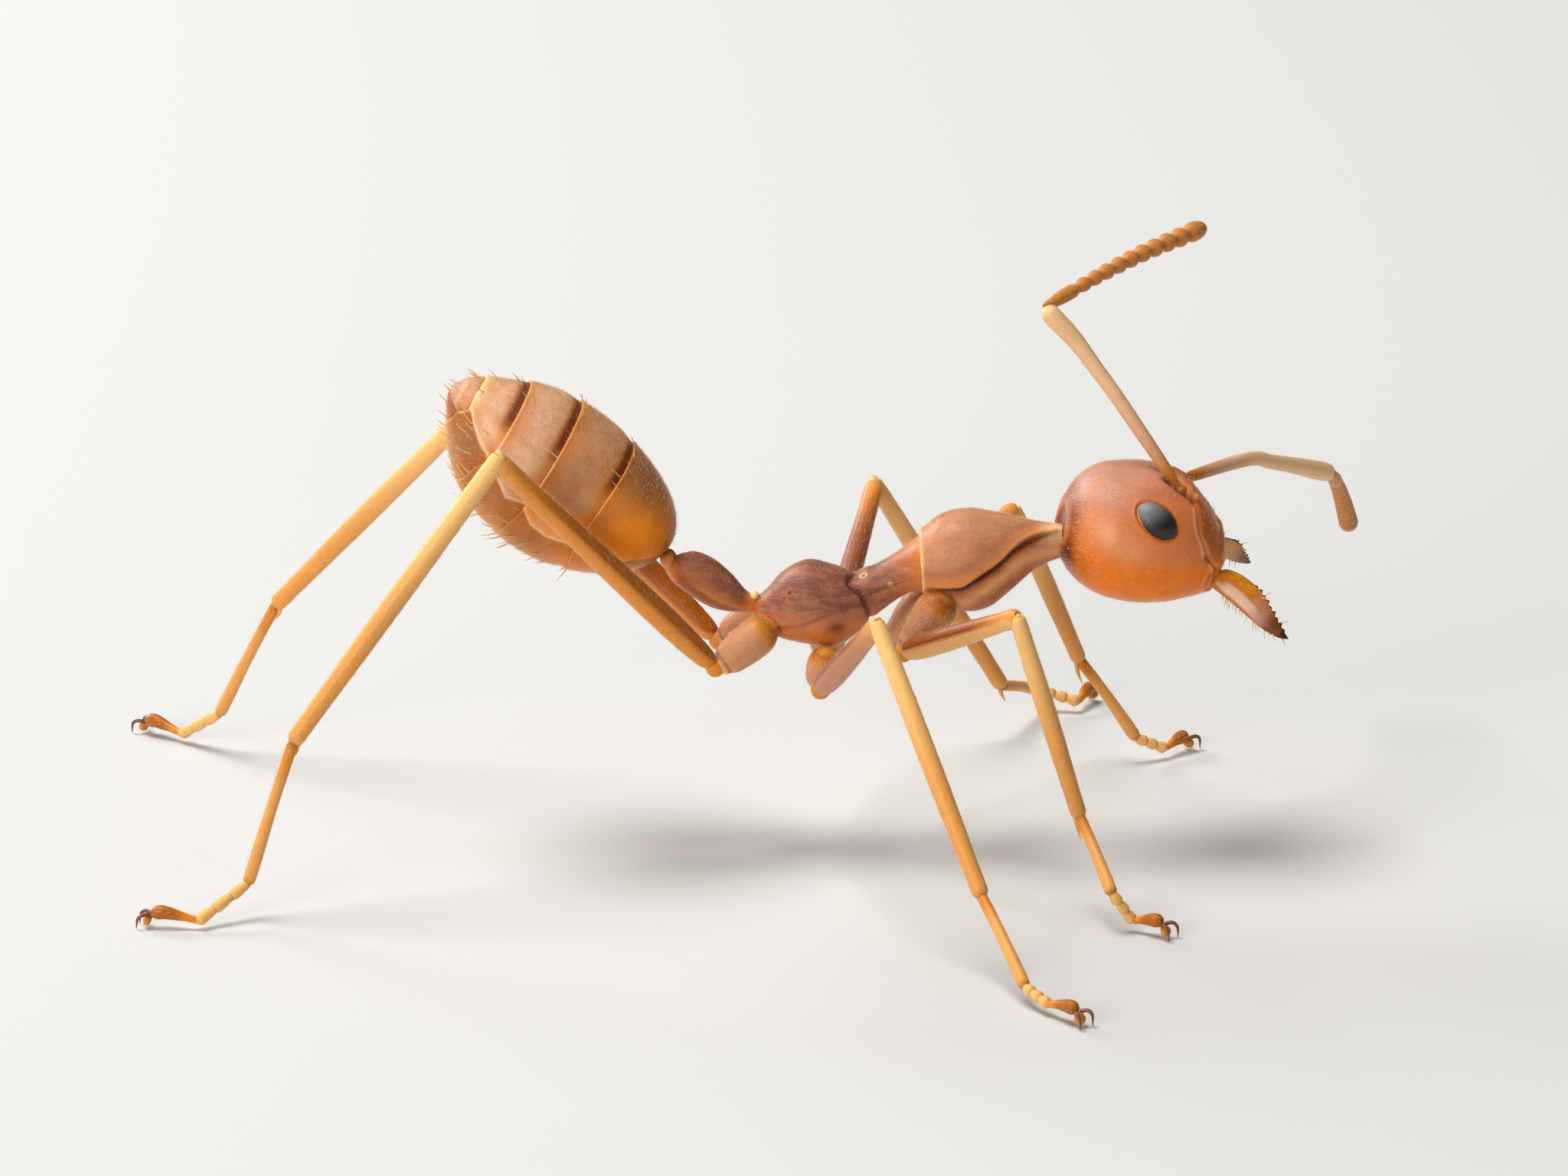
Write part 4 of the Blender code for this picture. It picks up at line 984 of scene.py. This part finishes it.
gasterShape = {
    "front": (-1.07, 0.0, 3.37), "pitch": 32.0, "first": -0.07, "last": 2.76,
    "halfHeight": 0.84, "halfWidth": 0.83, "fullness": 0.58, "sag": 0.1,
    "taper": 0.09, "bluntness": 0.05,  # fullness gained to the tip and lost to the front
    "flatTop": 0.09,  # share of the height lost where the back flattens
    "tipRise": 0.06,  # the last stretch turns up
    "overlap": 0.14, "tuck": 0.03, "lip": 0.006, "lowerDent": 0.014, "sideDent": 0.006,
    "plateEnds": (  # for each seam: degrees up the ring, station
        ((-90, 0.74), (-45, 0.8), (-25, 0.86), (0, 0.86), (50, 0.81), (90, 0.81)),
        ((-90, 1.6), (-45, 1.57), (-20, 1.53), (20, 1.51), (90, 1.5)),
        ((-90, 2.23), (-24, 2.17), (-10, 2.09), (0, 2.08), (90, 2.07)),
        ((-90, 2.64), (-9, 2.6), (14, 2.52), (40, 2.53), (90, 2.5))),
    "sideEdges": (  # for each upper plate: station, degrees of its side edge
        ((0.0, -20), (0.5, -30), (0.86, -26)), ((0.86, -24), (1.16, -28), (1.38, -26), (1.53, -18)),
        ((1.53, -15), (1.75, -21), (1.96, -12), (2.09, -10)),
        ((2.08, -11), (2.13, -6), (2.26, -3), (2.41, 5), (2.49, 14), (2.6, 17)), ((2.4, -9), (2.8, -9))),
    "sideLineWidths": (1.2, 1.2, 1.2, 2.2, 1.6),
    "glow": (0.4, 0.6, -0.1), "glowSize": 0.52,
    "stations": 64, "sides": 200,
    "paint": {  # a weight for all plates, or one for each
        "warm": {"glow": 1.1, "lower": (0.45, 0.45, 0.45, 0.25, 0.25), "goldSide": (0, 0.85, 0, 0, 0),
                 "nearCover": 0.3, "nearEdge": 0.25},
        "bloom": {"upperBloomAndSheen": (0.42, 0.44, 0.85, 0.9, 0.75),
                  "lowerBloomAndSheen": (0.1, 0.1, 0.15, 0.35, 0.35)},
        # litField paints T3 and T4 lighter, as lit from above and behind; highlight is a painted highlight
        "pale": {"seam": 0.6, "topSeam": -0.55, "lowerSeam": -0.25,
                 "sideLine": (0.45, 0.65, 0.65, 0.75, 0), "broadSeam": (0, 0, 0, 0.85, 0),
                 "broadLowerSeam": (0, 0, 0, 0.6, 0), "tipSeam": (0, 0, 0, 0, 0.5),
                 "highlight": (0, 0.34, 0.5, 0.5, 0), "litField": (0, 0, 0.07, 0.12, 0)},
        "dark": {"band": 0.9, "front": 0.35, "sideShade": 0.18, "lowerShade": 0.52,
                 "all": (0, 0, 0, 0, 0.17), "frontTop": (0.45, 0, 0, 0, 0)},
        "down": {"down": 1.0}, "bristle": {"bristle": 1.0}},
}


def eggPoint(s, angle, scale):
    # a point of the egg in the gaster's own frame: backward, to the right, up
    shape = gasterShape
    first, last = shape["first"], shape["last"]
    span = np.clip((s - (first + last) / 2) / ((last - first) / 2), -1, 1)
    fullness = (shape["fullness"] + shape["taper"] * ease(span, 0.45, 1.0)
                - shape["bluntness"] * ease(-span, 0.45, 1.0))
    share = (1 - span**2) ** fullness * scale
    flat = np.where(np.sin(angle) > 0, 1 - shape["flatTop"] * swell(s - 2.38, 0.36), 1.0)
    sag = 0.05 * (s - 0.8) ** 2 - shape["sag"] + shape["tipRise"] * ease(s, 2.2, 2.7)
    return np.stack([s, shape["halfWidth"] * share * np.cos(angle),
                     sag + shape["halfHeight"] * share * flat * np.sin(angle)], -1)


def makePlate(k, start, stop, angles, tilt):
    # one ring of upper and lower plate, from under the one before it to its own free edge
    shape = gasterShape
    u = np.linspace(0, 1, shape["stations"])[:, None]
    if k == 0:
        u = 1 - np.cos(u * pi / 2)  # closer rings on the blunt front
    if k == 4:
        u = np.sin(u * pi / 2)
    s = start + (stop - start) * u
    upTilt = tilt - np.interp(s, *np.array(shape["sideEdges"][k], float).T)
    upper = ease(upTilt, -1.5, 1.5)
    top = ease(tilt, 12, 42)
    fromEdge = stop - s  # to this plate's free edge
    freeEdge = fromEdge if k < 4 else fromEdge + farAway  # the last one has none
    fromCover = s - start - shape["overlap"] if k else s * 0 + farAway
    tuck = shape["tuck"] * ease(fromCover, 0.24, -0.04)
    lip = shape["lip"] * swell(freeEdge - 0.015, 0.02)
    dent = shape["lowerDent"] * (1 - upper) + shape["sideDent"] * swell(upTilt + 3, 2.5)
    grid = eggPoint(s, angles, 1 - tuck + lip - dent)
    visible = ease(fromCover, -0.03, -0.01)
    band = ease(fromCover, 0.14, 0.05) * ease(tilt, 14, 40) * (k < 4)
    seam = ease(freeEdge, 0.02, 0.008)
    glow = swell(bothSides(grid, shape["glow"], (1, 0.5, 1)), shape["glowSize"])
    edgeWidth, coverWidth = (0.12, 0.14) if k < 4 else (0.03, 0.03)
    bloom = ((1 - glow) * ease(s, 0.2, 0.8) * (1 - swell(fromEdge, edgeWidth))
             * (1 - swell(fromCover, coverWidth)))
    features = dict(
        all=1.0, glow=glow, band=band, seam=seam, lower=1 - upper, topSeam=seam * top,
        lowerSeam=seam * (1 - upper), goldSide=upper * ease(tilt, 10, -14),
        nearCover=swell(fromCover - 0.05, 0.12) * visible, nearEdge=swell(fromEdge, 0.16),
        upperBloomAndSheen=upper * bloom, lowerBloomAndSheen=(1 - upper) * bloom,
        sideLine=swell(upTilt - 1.6, shape["sideLineWidths"][k]) * ease(s, 0.4, 0.7),
        broadSeam=swell(fromEdge, 0.06) * upper,
        broadLowerSeam=swell(fromEdge, 0.03) * ease(tilt, -12, -4) * (1 - upper),
        tipSeam=swell(s - 2.66, 0.02) * upper,
        highlight=swell(fromCover - 0.17, 0.12) * swell(tilt - 12, 11) * visible,
        # litField: the upper T3 and T4 painted lighter, as lit from above and behind
        litField=upper * ease(fromCover, 0.08, 0.2), front=swell(s - shape["first"], 0.12),
        sideShade=upper * swell(upTilt - 10, 7) * ease(s, 0.9, 1.2),
        lowerShade=(1 - upper) * ease(tilt, -90, -25), frontTop=ease(tilt, 15, 55) * ease(s, 0.0, 0.6),
        down=visible * (1 - 0.85 * band) * (1 - 0.6 * seam) * (0.55 + 0.45 * top),
        bristle=visible * np.clip(0.5 * ease(s, 1.9, 2.4) + 0.8 * (1 - upper) * ease(s, 0.3, 0.7)
                                  + 0.9 * ease(fromEdge, 0.1, 0.05) * top, 0, 1))
    return grid, weighAll(features, shape["paint"], k)


def makeGaster():
    shape = gasterShape
    pitch = radians(shape["pitch"])
    axes = np.array(((-cos(pitch), 0, sin(pitch)), (0, -1, 0), (sin(pitch), 0, cos(pitch))))
    angles = np.linspace(0, 2 * pi, shape["sides"], endpoint=False)
    tilt = np.degrees(np.arcsin(np.sin(angles)))  # degrees up the ring, -90 below to 90 above
    seams = [tilt * 0 + shape["first"], *(np.interp(tilt, *np.array(rows, float).T)
                                          for rows in shape["plateEnds"]), tilt * 0 + shape["last"]]
    for k, (start, stop) in enumerate(zip(seams, seams[1:])):
        grid, masks = makePlate(k, start - (shape["overlap"] if k else 0.0), stop, angles, tilt)
        skin = Skin()
        skin.add(grid, masks, (np.array(shape["front"]), axes.T))
        addSkin("gasterPlate%d" % (k + 1), skin, gasterLook, "gaster_cuticle", "gaster_segment_%d" % (k + 1))


makeGaster()
print("gaster ready")


# legs

legShape = {  # three values are for the fore, mid and hind leg
    "coxa": (0.8, 0.52, 0.78), "tibia": (2.24, 3.03, 3.56), "spur": (0.3, 0.17, 0.2),  # lengths
    "foot": ((1.07, 0.38, 0.46), (1.25, 0.4, 0.52), (1.59, 0.68, 0.62)),  # of its joints
    "coxaRadii": ((0.18, 0.215, 0.165, 0.1), (0.14, 0.185, 0.18, 0.12), (0.15, 0.205, 0.185, 0.11)),
    "femurGirth": (0.13, 0.128, 0.138), "tibiaGirth": (0.098, 0.102, 0.108),
    "coxaPaint": {
        "warm": {"root": 0.9}, "bloom": {"shaft": 0.85}, "pale": {"all": 0.05, "end": 0.5, "below": 0.15},
        "dark": {"suture": 0.55, "band": 0.2, "collar": 0.45, "shade": (0.26, 0.04, 0.02)},
        "down": {"all": 1.0}, "bristle": {"tuft": 1.0}},
    "femurPaint": {
        "warm": {"all": (0.25, 0.25, 0.75), "topside": 0.6}, "bloom": {"rootward": (0.1, 0.85, 0.05)},
        "pale": {"underside": (0.4, 0.02, 0.04), "end": 0.2},
        # the mid femur's shaft is painted darker, as shade, with more bloom colour
        "dark": {"flank": (1.0, 0.75, 0.7), "shaft": (0.02, 0.17, 0.01)},
        "down": {"all": 1.0}, "bristle": {"tuft": 0.25}},
}
legPairs = ("fore", "mid", "hind")
limbParts = {
    # rings, corners, (share of length, radius), and what each mask adds up from, number or smooth
    # step (amount, start, stop); the radii of femur and tibia are shares of the girth
    "trochanter": (30, 30, ((0, 0.085), (0.4, 0.105), (1, 0.085)),
                   {"warm": (0.9,), "pale": ((0.5, 0.35, 0.0),), "dark": ((0.4, 0.85, 1.0),)}),
    "femur": (120, 32, ((0, 0.62), (0.06, 0.85), (0.2, 1.0), (0.5, 0.95), (0.85, 0.78), (0.95, 0.8),
                        (1, 0.74)), {}),
    "tibia": (130, 30, ((0, 0.62), (0.03, 0.8), (0.1, 0.9), (0.5, 1.0), (0.9, 0.86), (0.98, 0.84),
                        (1, 0.7)),
              {"warm": (0.6, (0.3, 0.3, 0.9)), "dark": ((0.35, 0.985, 1.0),), "down": (1.0,),
               "pale": (0.75, (-0.5, 0.1, 0.7)), "bristle": (0.35,)}),
    "spur": (26, 12, ((0, 0.026), (0.4, 0.022), (1, 0.005)), {"warm": (0.6,), "pale": (0.4,)}),
    "instep": (60, 18, ((0, 0.05), (0.06, 0.058), (0.5, 0.06), (0.9, 0.068), (1, 0.06)),
               {"warm": (0.85,), "pale": ((0.3, 0.1, 0.4),), "down": (1.0,),
                "dark": ((0.55, 0.07, 0.0), (0.45, 0.93, 1.0))}),
    "footJoint": (26, 16, ((0, 0.04), (0.2, 0.05), (0.8, 0.064), (1, 0.05)),
                  {"warm": (0.7,), "pale": (0.55,), "dark": ((0.4, 0.2, 0.0),), "down": (1.0,)}),
    "lastJoint": (34, 18, ((0, 0.035), (0.25, 0.042), (0.8, 0.075), (1, 0.06)),
                  {"warm": (1.0,), "dark": ((0.55, 0.2, 0.5),), "down": (1.0,), "bristle": (0.6,)}),
    "pad": (24, 20, ((0, 0.05), (0.6, 0.072), (1, 0.08)), {}),
    "claw": (26, 12, ((0, 0.024), (0.5, 0.018), (1, 0.004)), {}),
}
footShape = {
    "archHeight": 0.075, "arch": ((0.33, 0.075, 0.3), (0.62, 0.15, 0.75), (0.8, 0.1, 0.6)),
    "padReach": 0.045, "padHeight": 0.03, "padFlatness": 0.65,
    "clawSpread": 0.03, "clawTipHeight": 0.012,
    "claw": ((0, 0, 0), (0.07, 0.045, 0.018), (0.125, 0.06, -0.022), (0.14, 0.055, 0)),  # ahead, out, up
}
# Foot joints: (heading from straight ahead towards the leg's own side, height of the far end).
footPose = {
    "fore_right": ((69, 0.43), (-12, 0.12), (34, 0.06)), "mid_right": ((66, 0.2), (54, 0.13), (46, 0.06)),
    "hind_right": ((173, 0.38), (142, 0.1), (187, 0.06)), "fore_left": ((-5, 0.28), (23, 0.12), (51, 0.06)),
    "mid_left": ((67, 0.23), (-8, 0.13), (70, 0.06)), "hind_left": ((146, 0.45), (139, 0.1), (144, 0.06)),
}


def legRings(part, places, girth=1.0, flatten=1.0):
    steps, corners, rows, _ = limbParts[part]
    return limbRings(places, [(share, radius * girth) for share, radius in rows], steps, corners, flatten)


def addLimb(skin, part, places, girth=1.0):
    rings, shares = legRings(part, places, girth)
    skin.add(rings, {name: sum(step[0] * ease(shares, *step[1:]) if isinstance(step, tuple) else step
                               for step in steps) for name, steps in limbParts[part][3].items()})


def makeFoot(title, suffix, side, lengths, ankle):
    shape = footShape
    places = [ankle]
    for length, (heading, height) in zip(lengths, footPose[suffix]):
        climb = height - places[-1][2]
        reach = max(length**2 - climb**2, 0.0) ** 0.5
        turn = radians(heading) * side
        places.append(places[-1] + (cos(turn) * reach, sin(turn) * reach, climb))
    ankle, instep, toe, claw = places
    skin = Skin()
    ahead = unit(instep - ankle) * 0.02
    bow = ankle + (instep - ankle) * 0.5 + (0, 0, 0.02)
    addLimb(skin, "instep", [ankle - ahead, bow, instep + ahead])
    for k in range(3):  # three short joints down to the floor
        addLimb(skin, "footJoint", [instep + (toe - instep) * share
                                    for share in (k / 3 - 0.03, (k + 1) / 3 + 0.05)])
    way = unit((claw - toe) * (1, 1, 0))
    length = np.linalg.norm((claw - toe)[:2])
    arch = [toe] + [toe + way * length * reach + (0, 0, rise - toe[2] * fall)
                    for reach, rise, fall in shape["arch"]]
    arch = [np.maximum(place, (-np.inf, -np.inf, shape["archHeight"])) for place in arch]
    addLimb(skin, "lastJoint", arch)
    padTop = arch[-1]
    padFoot = padTop * (1, 1, 0) + way * shape["padReach"] + (0, 0, shape["padHeight"])
    rings, shares = legRings("pad", [padTop, (padTop + padFoot) / 2 + way * 0.02, padFoot],
                             flatten=shape["padFlatness"])
    skin.add(rings, {"pale": 0.15 * shares, "warm": 1.0, "dark": 0.25 * (1 - shares)})
    addSkin("tarsus" + title, skin, legLook, "leg_cuticle", "tarsus_" + suffix)
    hooks = Skin()
    for turn in (-1, 1):
        out = np.cross((0, 0, 1), way) * turn
        route = [padTop + out * shape["clawSpread"] + way * reach + out * apart + (0, 0, rise)
                 for reach, apart, rise in shape["claw"]]
        route[-1][2] = shape["clawTipHeight"]
        addLimb(hooks, "claw", route)
    addSkin("claws" + title, hooks, clawLook, "leg_cuticle")


def makeLeg(pair, label, side):
    suffix = "%s_%s" % (pair, label.lower())
    title = pair.capitalize() + label
    k = legPairs.index(pair)
    shape = legShape
    coxaLine = middleLine("coxa_" + suffix, (0.55, 0.85))
    femurLine = middleLine("femur_" + suffix, (0.4, 0.6))
    shinLine = middleLine("tibia_" + suffix, (0.35, 0.65))
    trochanter, knee = meeting(coxaLine, femurLine), meeting(femurLine, shinLine)
    shinWay = unit(shinLine[1] - shinLine[0])
    shinWay = shinWay * np.sign(shinWay @ (shinLine[0] - knee))  # from the knee to the foot
    ankle = knee + shinWay * shape["tibia"][k]
    femurWay = unit(knee - trochanter)
    upward = unit(coxaLine.mean(0) - trochanter)
    hip = trochanter + upward * shape["coxa"][k]

    skin = Skin()
    rings, shares = limbRings([hip, (hip + trochanter) / 2, trochanter - upward * 0.02],
                              tuple(zip((0, 0.3, 0.7, 1), shape["coxaRadii"][k])), 80, 60)
    normals = gridNormals(rings)
    rise = normals[..., 2]
    rings = rings - normals * (0.012 * swell(shares - 0.86, 0.03))[..., None]
    features = dict(
        all=1.0, root=ease(shares, 0.5, 0.15), shaft=ease(shares, 0.2, 0.4), end=ease(shares, 0.88, 0.97),
        below=ease(-rise, 0.0, 0.8), suture=swell(shares - 0.87, 0.02), band=swell(shares - 0.22, 0.05),
        collar=swell(shares - 0.12, 0.06), tuft=ease(shares, 0.6, 0.9) * ease(-rise, 0.2, 0.7),
        shade=(0.4 + 0.6 * ease(rise, -0.4, 0.3)) * ease(shares, 0.85, 0.7))
    skin.add(rings, weighAll(features, shape["coxaPaint"], k))
    addSkin("coxa" + title, skin, legLook, "leg_cuticle", "coxa_" + suffix)

    skin = Skin()
    addLimb(skin, "trochanter", [trochanter - femurWay * 0.09, trochanter, trochanter + femurWay * 0.13])
    thigh = [trochanter + femurWay * 0.06, knee + femurWay * 0.03]
    rings, shares = legRings("femur", thigh, shape["femurGirth"][k])
    rise = gridNormals(rings)[..., 2]
    topside = ease(rise, -0.15, 0.35)
    flank = np.maximum(0.75 * topside, swell(rise - 0.15, 0.16))  # with a dark line along it
    shaft = 1 - ease(shares, 0.6, 0.97)
    features = dict(
        all=1.0, topside=topside, underside=1 - topside, flank=flank * shaft, shaft=shaft,
        rootward=1 - ease(shares, 0.55, 0.95), end=ease(shares, 0.85, 1.0), tuft=ease(shares, 0.9, 1.0))
    skin.add(rings, weighAll(features, shape["femurPaint"], k))
    addSkin("femur" + title, skin, legLook, "leg_cuticle", "femur_" + suffix)

    skin = Skin()
    bend = knee + shinWay * 0.1
    shin = [knee - shinWay * 0.035 + femurWay * 0.02, bend, (bend + ankle) / 2, ankle + shinWay * 0.03]
    addLimb(skin, "tibia", shin, shape["tibiaGirth"][k])
    below = ankle - shinWay * 0.03
    inward = unit(np.cross(shinWay, np.cross(femurWay, shinWay)))
    spurTip = below + shinWay * shape["spur"][k] - inward * 0.1
    addLimb(skin, "spur", [below - inward * 0.05, (below + spurTip) / 2 - inward * 0.045, spurTip])
    addSkin("tibia" + title, skin, legLook, "leg_cuticle", "tibia_" + suffix)
    makeFoot(title, suffix, side, shape["foot"][k], ankle)


for pair in legPairs:
    for label, side in sides.items():
        makeLeg(pair, label, side)
print("legs ready")


# hairs

legParts = ("coxa", "femur", "tibia", "tarsus")
trunkParts = ("trunkSkin", "petioleSkin")
coats = {
    # pieces that carry it, slot, mask, hairs per square millimetre, gap, shortest, longest, lean, stray
    "gasterDown": ("gasterPlate", "gaster", "down", 1100.0, 0.018, 0.03, 0.05, 0.8, 0.35),
    "headDown": ("headSkin", "head", "down", 2300.0, 0.014, 0.024, 0.042, 1.1, 0.4),
    "trunkDown": (trunkParts, "trunk", "down", 900.0, 0.02, 0.022, 0.04, 0.8, 0.4),
    **{pair + "LegDown": (tuple(part + pair.capitalize() for part in legParts), "leg", "down",
                          420.0, 0.026, 0.035, 0.06, 1.5, 0.4) for pair in legPairs},
    "feelerDown": (("scape", "funiculus"), "antenna", "down", 900.0, 0.018, 0.02, 0.036, 1.2, 0.4),
    "gasterBristles": ("gasterPlate", "gaster", "bristle", 40.0, 0.075, 0.11, 0.2, 0.8, 0.45),
    "headBristles": ("headSkin", "head", "bristle", 8.0, 0.12, 0.05, 0.1, 0.8, 0.5),
    "trunkBristles": (trunkParts, "trunk", "bristle", 5.0, 0.14, 0.04, 0.08, 0.6, 0.5),
    "legBristles": (legParts, "leg", "bristle", 7.0, 0.1, 0.05, 0.09, 0.9, 0.5),
    "jawSpines": ("mandibleBlade", "mandible", "bristle", 1600.0, 0.036, 0.08, 0.125, 0.5, 0.18),
}
hairShape = {
    "Down": {"slenderness": 0.036, "bend": 0.22, "levels": (0.0, 0.5), "look": hairLook},
    "Bristles": {"slenderness": 0.054, "bend": 0.2, "levels": (0.0, 0.35, 0.7), "look": bristleLook},
    "Spines": {"slenderness": 0.075, "bend": 0.12, "levels": (0.0, 0.35, 0.7), "look": bristleLook},
}
bakePatch = 0.003  # width of a hair's patch on the map OFBake


def makeHair(shape):
    # one three-sided hair of unit length that tapers and bends towards +X
    points, faces, spots = [], [], []
    for level in shape["levels"]:
        radius = shape["slenderness"] * (1 - level) ** 0.7
        for k in range(3):
            c, s = cos(k * 2 * pi / 3), sin(k * 2 * pi / 3)
            points.append((radius * c + shape["bend"] * level**2, radius * s, level))
            spots.append((0.5 + 0.5 * c * (1 - level), 0.5 + 0.5 * s * (1 - level), 0.0))
    tip = len(points)
    points.append((shape["bend"], 0.0, 1.0))
    spots.append((0.5, 0.5, 0.0))
    for a in range(tip):
        b = a + 1 if a % 3 < 2 else a - 2
        faces.append((a, b, tip) if a >= tip - 3 else (a, b, b + 3, a + 3))
    mesh = bpy.data.meshes.new("hair")
    mesh.from_pydata(points, [], faces)
    layer = mesh.attributes.new("hairSpot", "FLOAT_VECTOR", "POINT")
    layer.data.foreach_set("vector", np.array(spots, np.float32).ravel())
    mesh.shade_smooth()
    return bpy.data.objects.new("hair", mesh)


def coatTree():
    # hairs scattered over a skin where its mask allows, lying along the skin's own direction
    graph, given = newTree("coat", {
        "Skin": "Geometry", "Hair": "Object", "Mask": "String", "Density": "Float", "Gap": "Float",
        "Shortest": "Float", "Longest": "Float", "Lean": "Float", "Stray": "Float", "Seed": "Int",
        "Material": "Material"}, "Coat")

    def stored(label, kind="FLOAT_VECTOR"):
        return graph.node("GeometryNodeInputNamedAttribute", {"data_type": kind}, {"Name": label})

    def store(geometry, name, value, kind, domain):
        return graph.node("GeometryNodeStoreNamedAttribute", {"data_type": kind, "domain": domain},
                          {"Geometry": geometry, "Name": name, "Value": value})

    def chance(kind, first, low, high, offset):
        return graph.node("FunctionNodeRandomValue", {"data_type": kind},
                          {first: low, first + 1: high, "Seed": given["Seed"] + offset}, first // 2)

    roots = graph.node("GeometryNodeDistributePointsOnFaces", {"distribute_method": "POISSON"},
                       {"Mesh": given["Skin"], "Distance Min": given["Gap"], "Density Max": given["Density"],
                        "Seed": given["Seed"], "Density Factor": stored(given["Mask"], "FLOAT")})
    points = store(roots, "rootSpot", stored("skinMap"), "FLOAT_VECTOR", "POINT")
    lie = stored("lie")
    astray = graph.scaled(chance("FLOAT_VECTOR", 0, (-1, -1, -1), (1, 1, 1), 1), given["Stray"])
    way = graph.vectors("ADD", roots.other("Normal"), graph.scaled(lie, given["Lean"]))
    turned = graph.node("FunctionNodeAlignRotationToVector", {"axis": "Z"},
                        {"Vector": graph.vectors("ADD", way, astray)})
    turned = graph.node("FunctionNodeAlignRotationToVector", {"axis": "X", "pivot_axis": "Z"},
                        {"Rotation": turned, "Vector": lie})
    hair = graph.node("GeometryNodeObjectInfo", None, {"Object": given["Hair"]}).other("Geometry")
    length = chance("FLOAT", 2, given["Shortest"], given["Longest"], 2)
    grown = graph.node("GeometryNodeInstanceOnPoints", None,
                       {"Points": points, "Instance": hair, "Rotation": turned,
                        "Scale": graph.vectors("MULTIPLY", (1, 1, 1), length)})
    grown = graph.node("GeometryNodeRealizeInstances", None, {0: grown})
    patch = graph.scaled(graph.vectors("SUBTRACT", stored("hairSpot"), (0.5, 0.5, 0.0)), bakePatch)
    grown = store(grown, "OFBake", graph.vectors("ADD", stored("rootSpot"), patch), "FLOAT2", "CORNER")
    return closeTree(graph, grown, given["Material"])


def growCoats():
    tree = coatTree()
    hairs = {kind: makeHair(shape) for kind, shape in hairShape.items()}
    for seed, (name, coat) in enumerate(coats.items()):
        wearers, slot, mask, density, *lengths, lean, stray = coat
        gap, shortest, longest = (length * metresPerMm for length in lengths)
        kind = next(kind for kind in hairs if name.endswith(kind))
        skin = Skin()
        for piece, made in madeSkins.items():
            if piece.startswith(wearers):
                skin.join(made)
        mesh = fromNodes(addObject("carrier", skinMesh("carrier", skin)), tree, {
            "Hair": hairs[kind], "Mask": mask, "Density": density / metresPerMm**2, "Gap": gap,
            "Shortest": shortest, "Longest": longest, "Lean": lean, "Stray": stray, "Seed": seed,
            "Material": hairShape[kind]["look"]})
        mesh.name = name
        addPiece(name, mesh, slot + "_cuticle")
        mesh.calc_loop_triangles()
        print(name, len(mesh.loop_triangles), "triangles")
    for hair in hairs.values():
        bpy.data.objects.remove(hair)


growCoats()
print("hairs ready")


# stage, lights and camera

stageLook = {
    "floorSize": 400.0, "floor": (0.66, 0.655, 0.64), "backdrop": (0.8, 0.82, 0.85), "ambient": 0.13,
    # name, place, aim, size, watts, colour: places and sizes in millimetres
    "lamps": (
        ("keyLamp", (-45.0, 10.0, 140.0), (0.5, 0, 3.0), 80.0, 0.195, (1.0, 0.98, 0.95)),
        ("fillLamp", (-72.0, -118.0, 48.0), (0.5, 0, 3.0), 70.0, 0.118, (1.0, 0.98, 0.96)),
        ("rimLamp", (-80.0, 90.0, 60.0), (0.0, 0, 3.5), 60.0, 0.1, (0.92, 0.96, 1.0)),
    ),
}
cameraShape = {  # degrees, and millimetres from the middle of the whole model's box
    "azimuth": -0.934, "elevation": 17.08, "aim": (0.53, 0.36, -0.31),
    "distance": 110.0, "frameWidth": 16.384, "sensor": 36.0,
}


def makeFloor():
    reach = stageLook["floorSize"] / 2 * metresPerMm
    corners = [(x * reach, y * reach, cadBounds[0].z) for x, y in ((-1, -1), (1, -1), (1, 1), (-1, 1))]
    mesh = bpy.data.meshes.new("floor")
    mesh.from_pydata(corners, [], [(0, 1, 2, 3)])
    material, graph, shader, _ = newMaterial("paleFloor")
    graph.fill(shader, {"Base Color": stageLook["floor"], "Roughness": 0.8})
    mesh.materials.append(material)
    addObject("floor", mesh)


def makeLights():
    for name, place, aim, size, watts, colour in stageLook["lamps"]:
        data = bpy.data.lights.new(name, "AREA")
        data.shape, data.size, data.energy, data.color = "DISK", size * metresPerMm, watts, colour
        lamp = addObject(name, data)
        lamp.location = Vector(place) * metresPerMm
        lamp.rotation_euler = (Vector(aim) - Vector(place)).to_track_quat("-Z", "Y").to_euler()
    world = bpy.data.worlds.new("studio")
    world.use_nodes = True
    Graph(world.node_tree).fill(world.node_tree.nodes["Background"], {
        "Color": stageLook["backdrop"], "Strength": stageLook["ambient"]})
    bpy.context.scene.world = world
    bpy.context.scene.view_settings.view_transform = "Standard"


def makeCamera():
    azimuth, elevation = radians(cameraShape["azimuth"]), radians(cameraShape["elevation"])
    look = Vector((sin(azimuth) * cos(elevation), cos(azimuth) * cos(elevation), -sin(elevation)))
    data = bpy.data.cameras.new("camera")
    data.sensor_width = cameraShape["sensor"]
    data.lens = cameraShape["sensor"] * cameraShape["distance"] / cameraShape["frameWidth"]
    data.clip_start, data.clip_end = metresPerMm, metresPerMm * 1e4
    camera = addObject("camera", data)
    aim = (cadBounds[0] + cadBounds[1]) / 2 + Vector(cameraShape["aim"]) * metresPerMm
    camera.location = aim - look * cameraShape["distance"] * metresPerMm
    camera.rotation_euler = look.to_track_quat("-Z", "Y").to_euler()
    bpy.context.scene.camera = camera


makeFloor()
makeLights()
makeCamera()
print("stage ready")
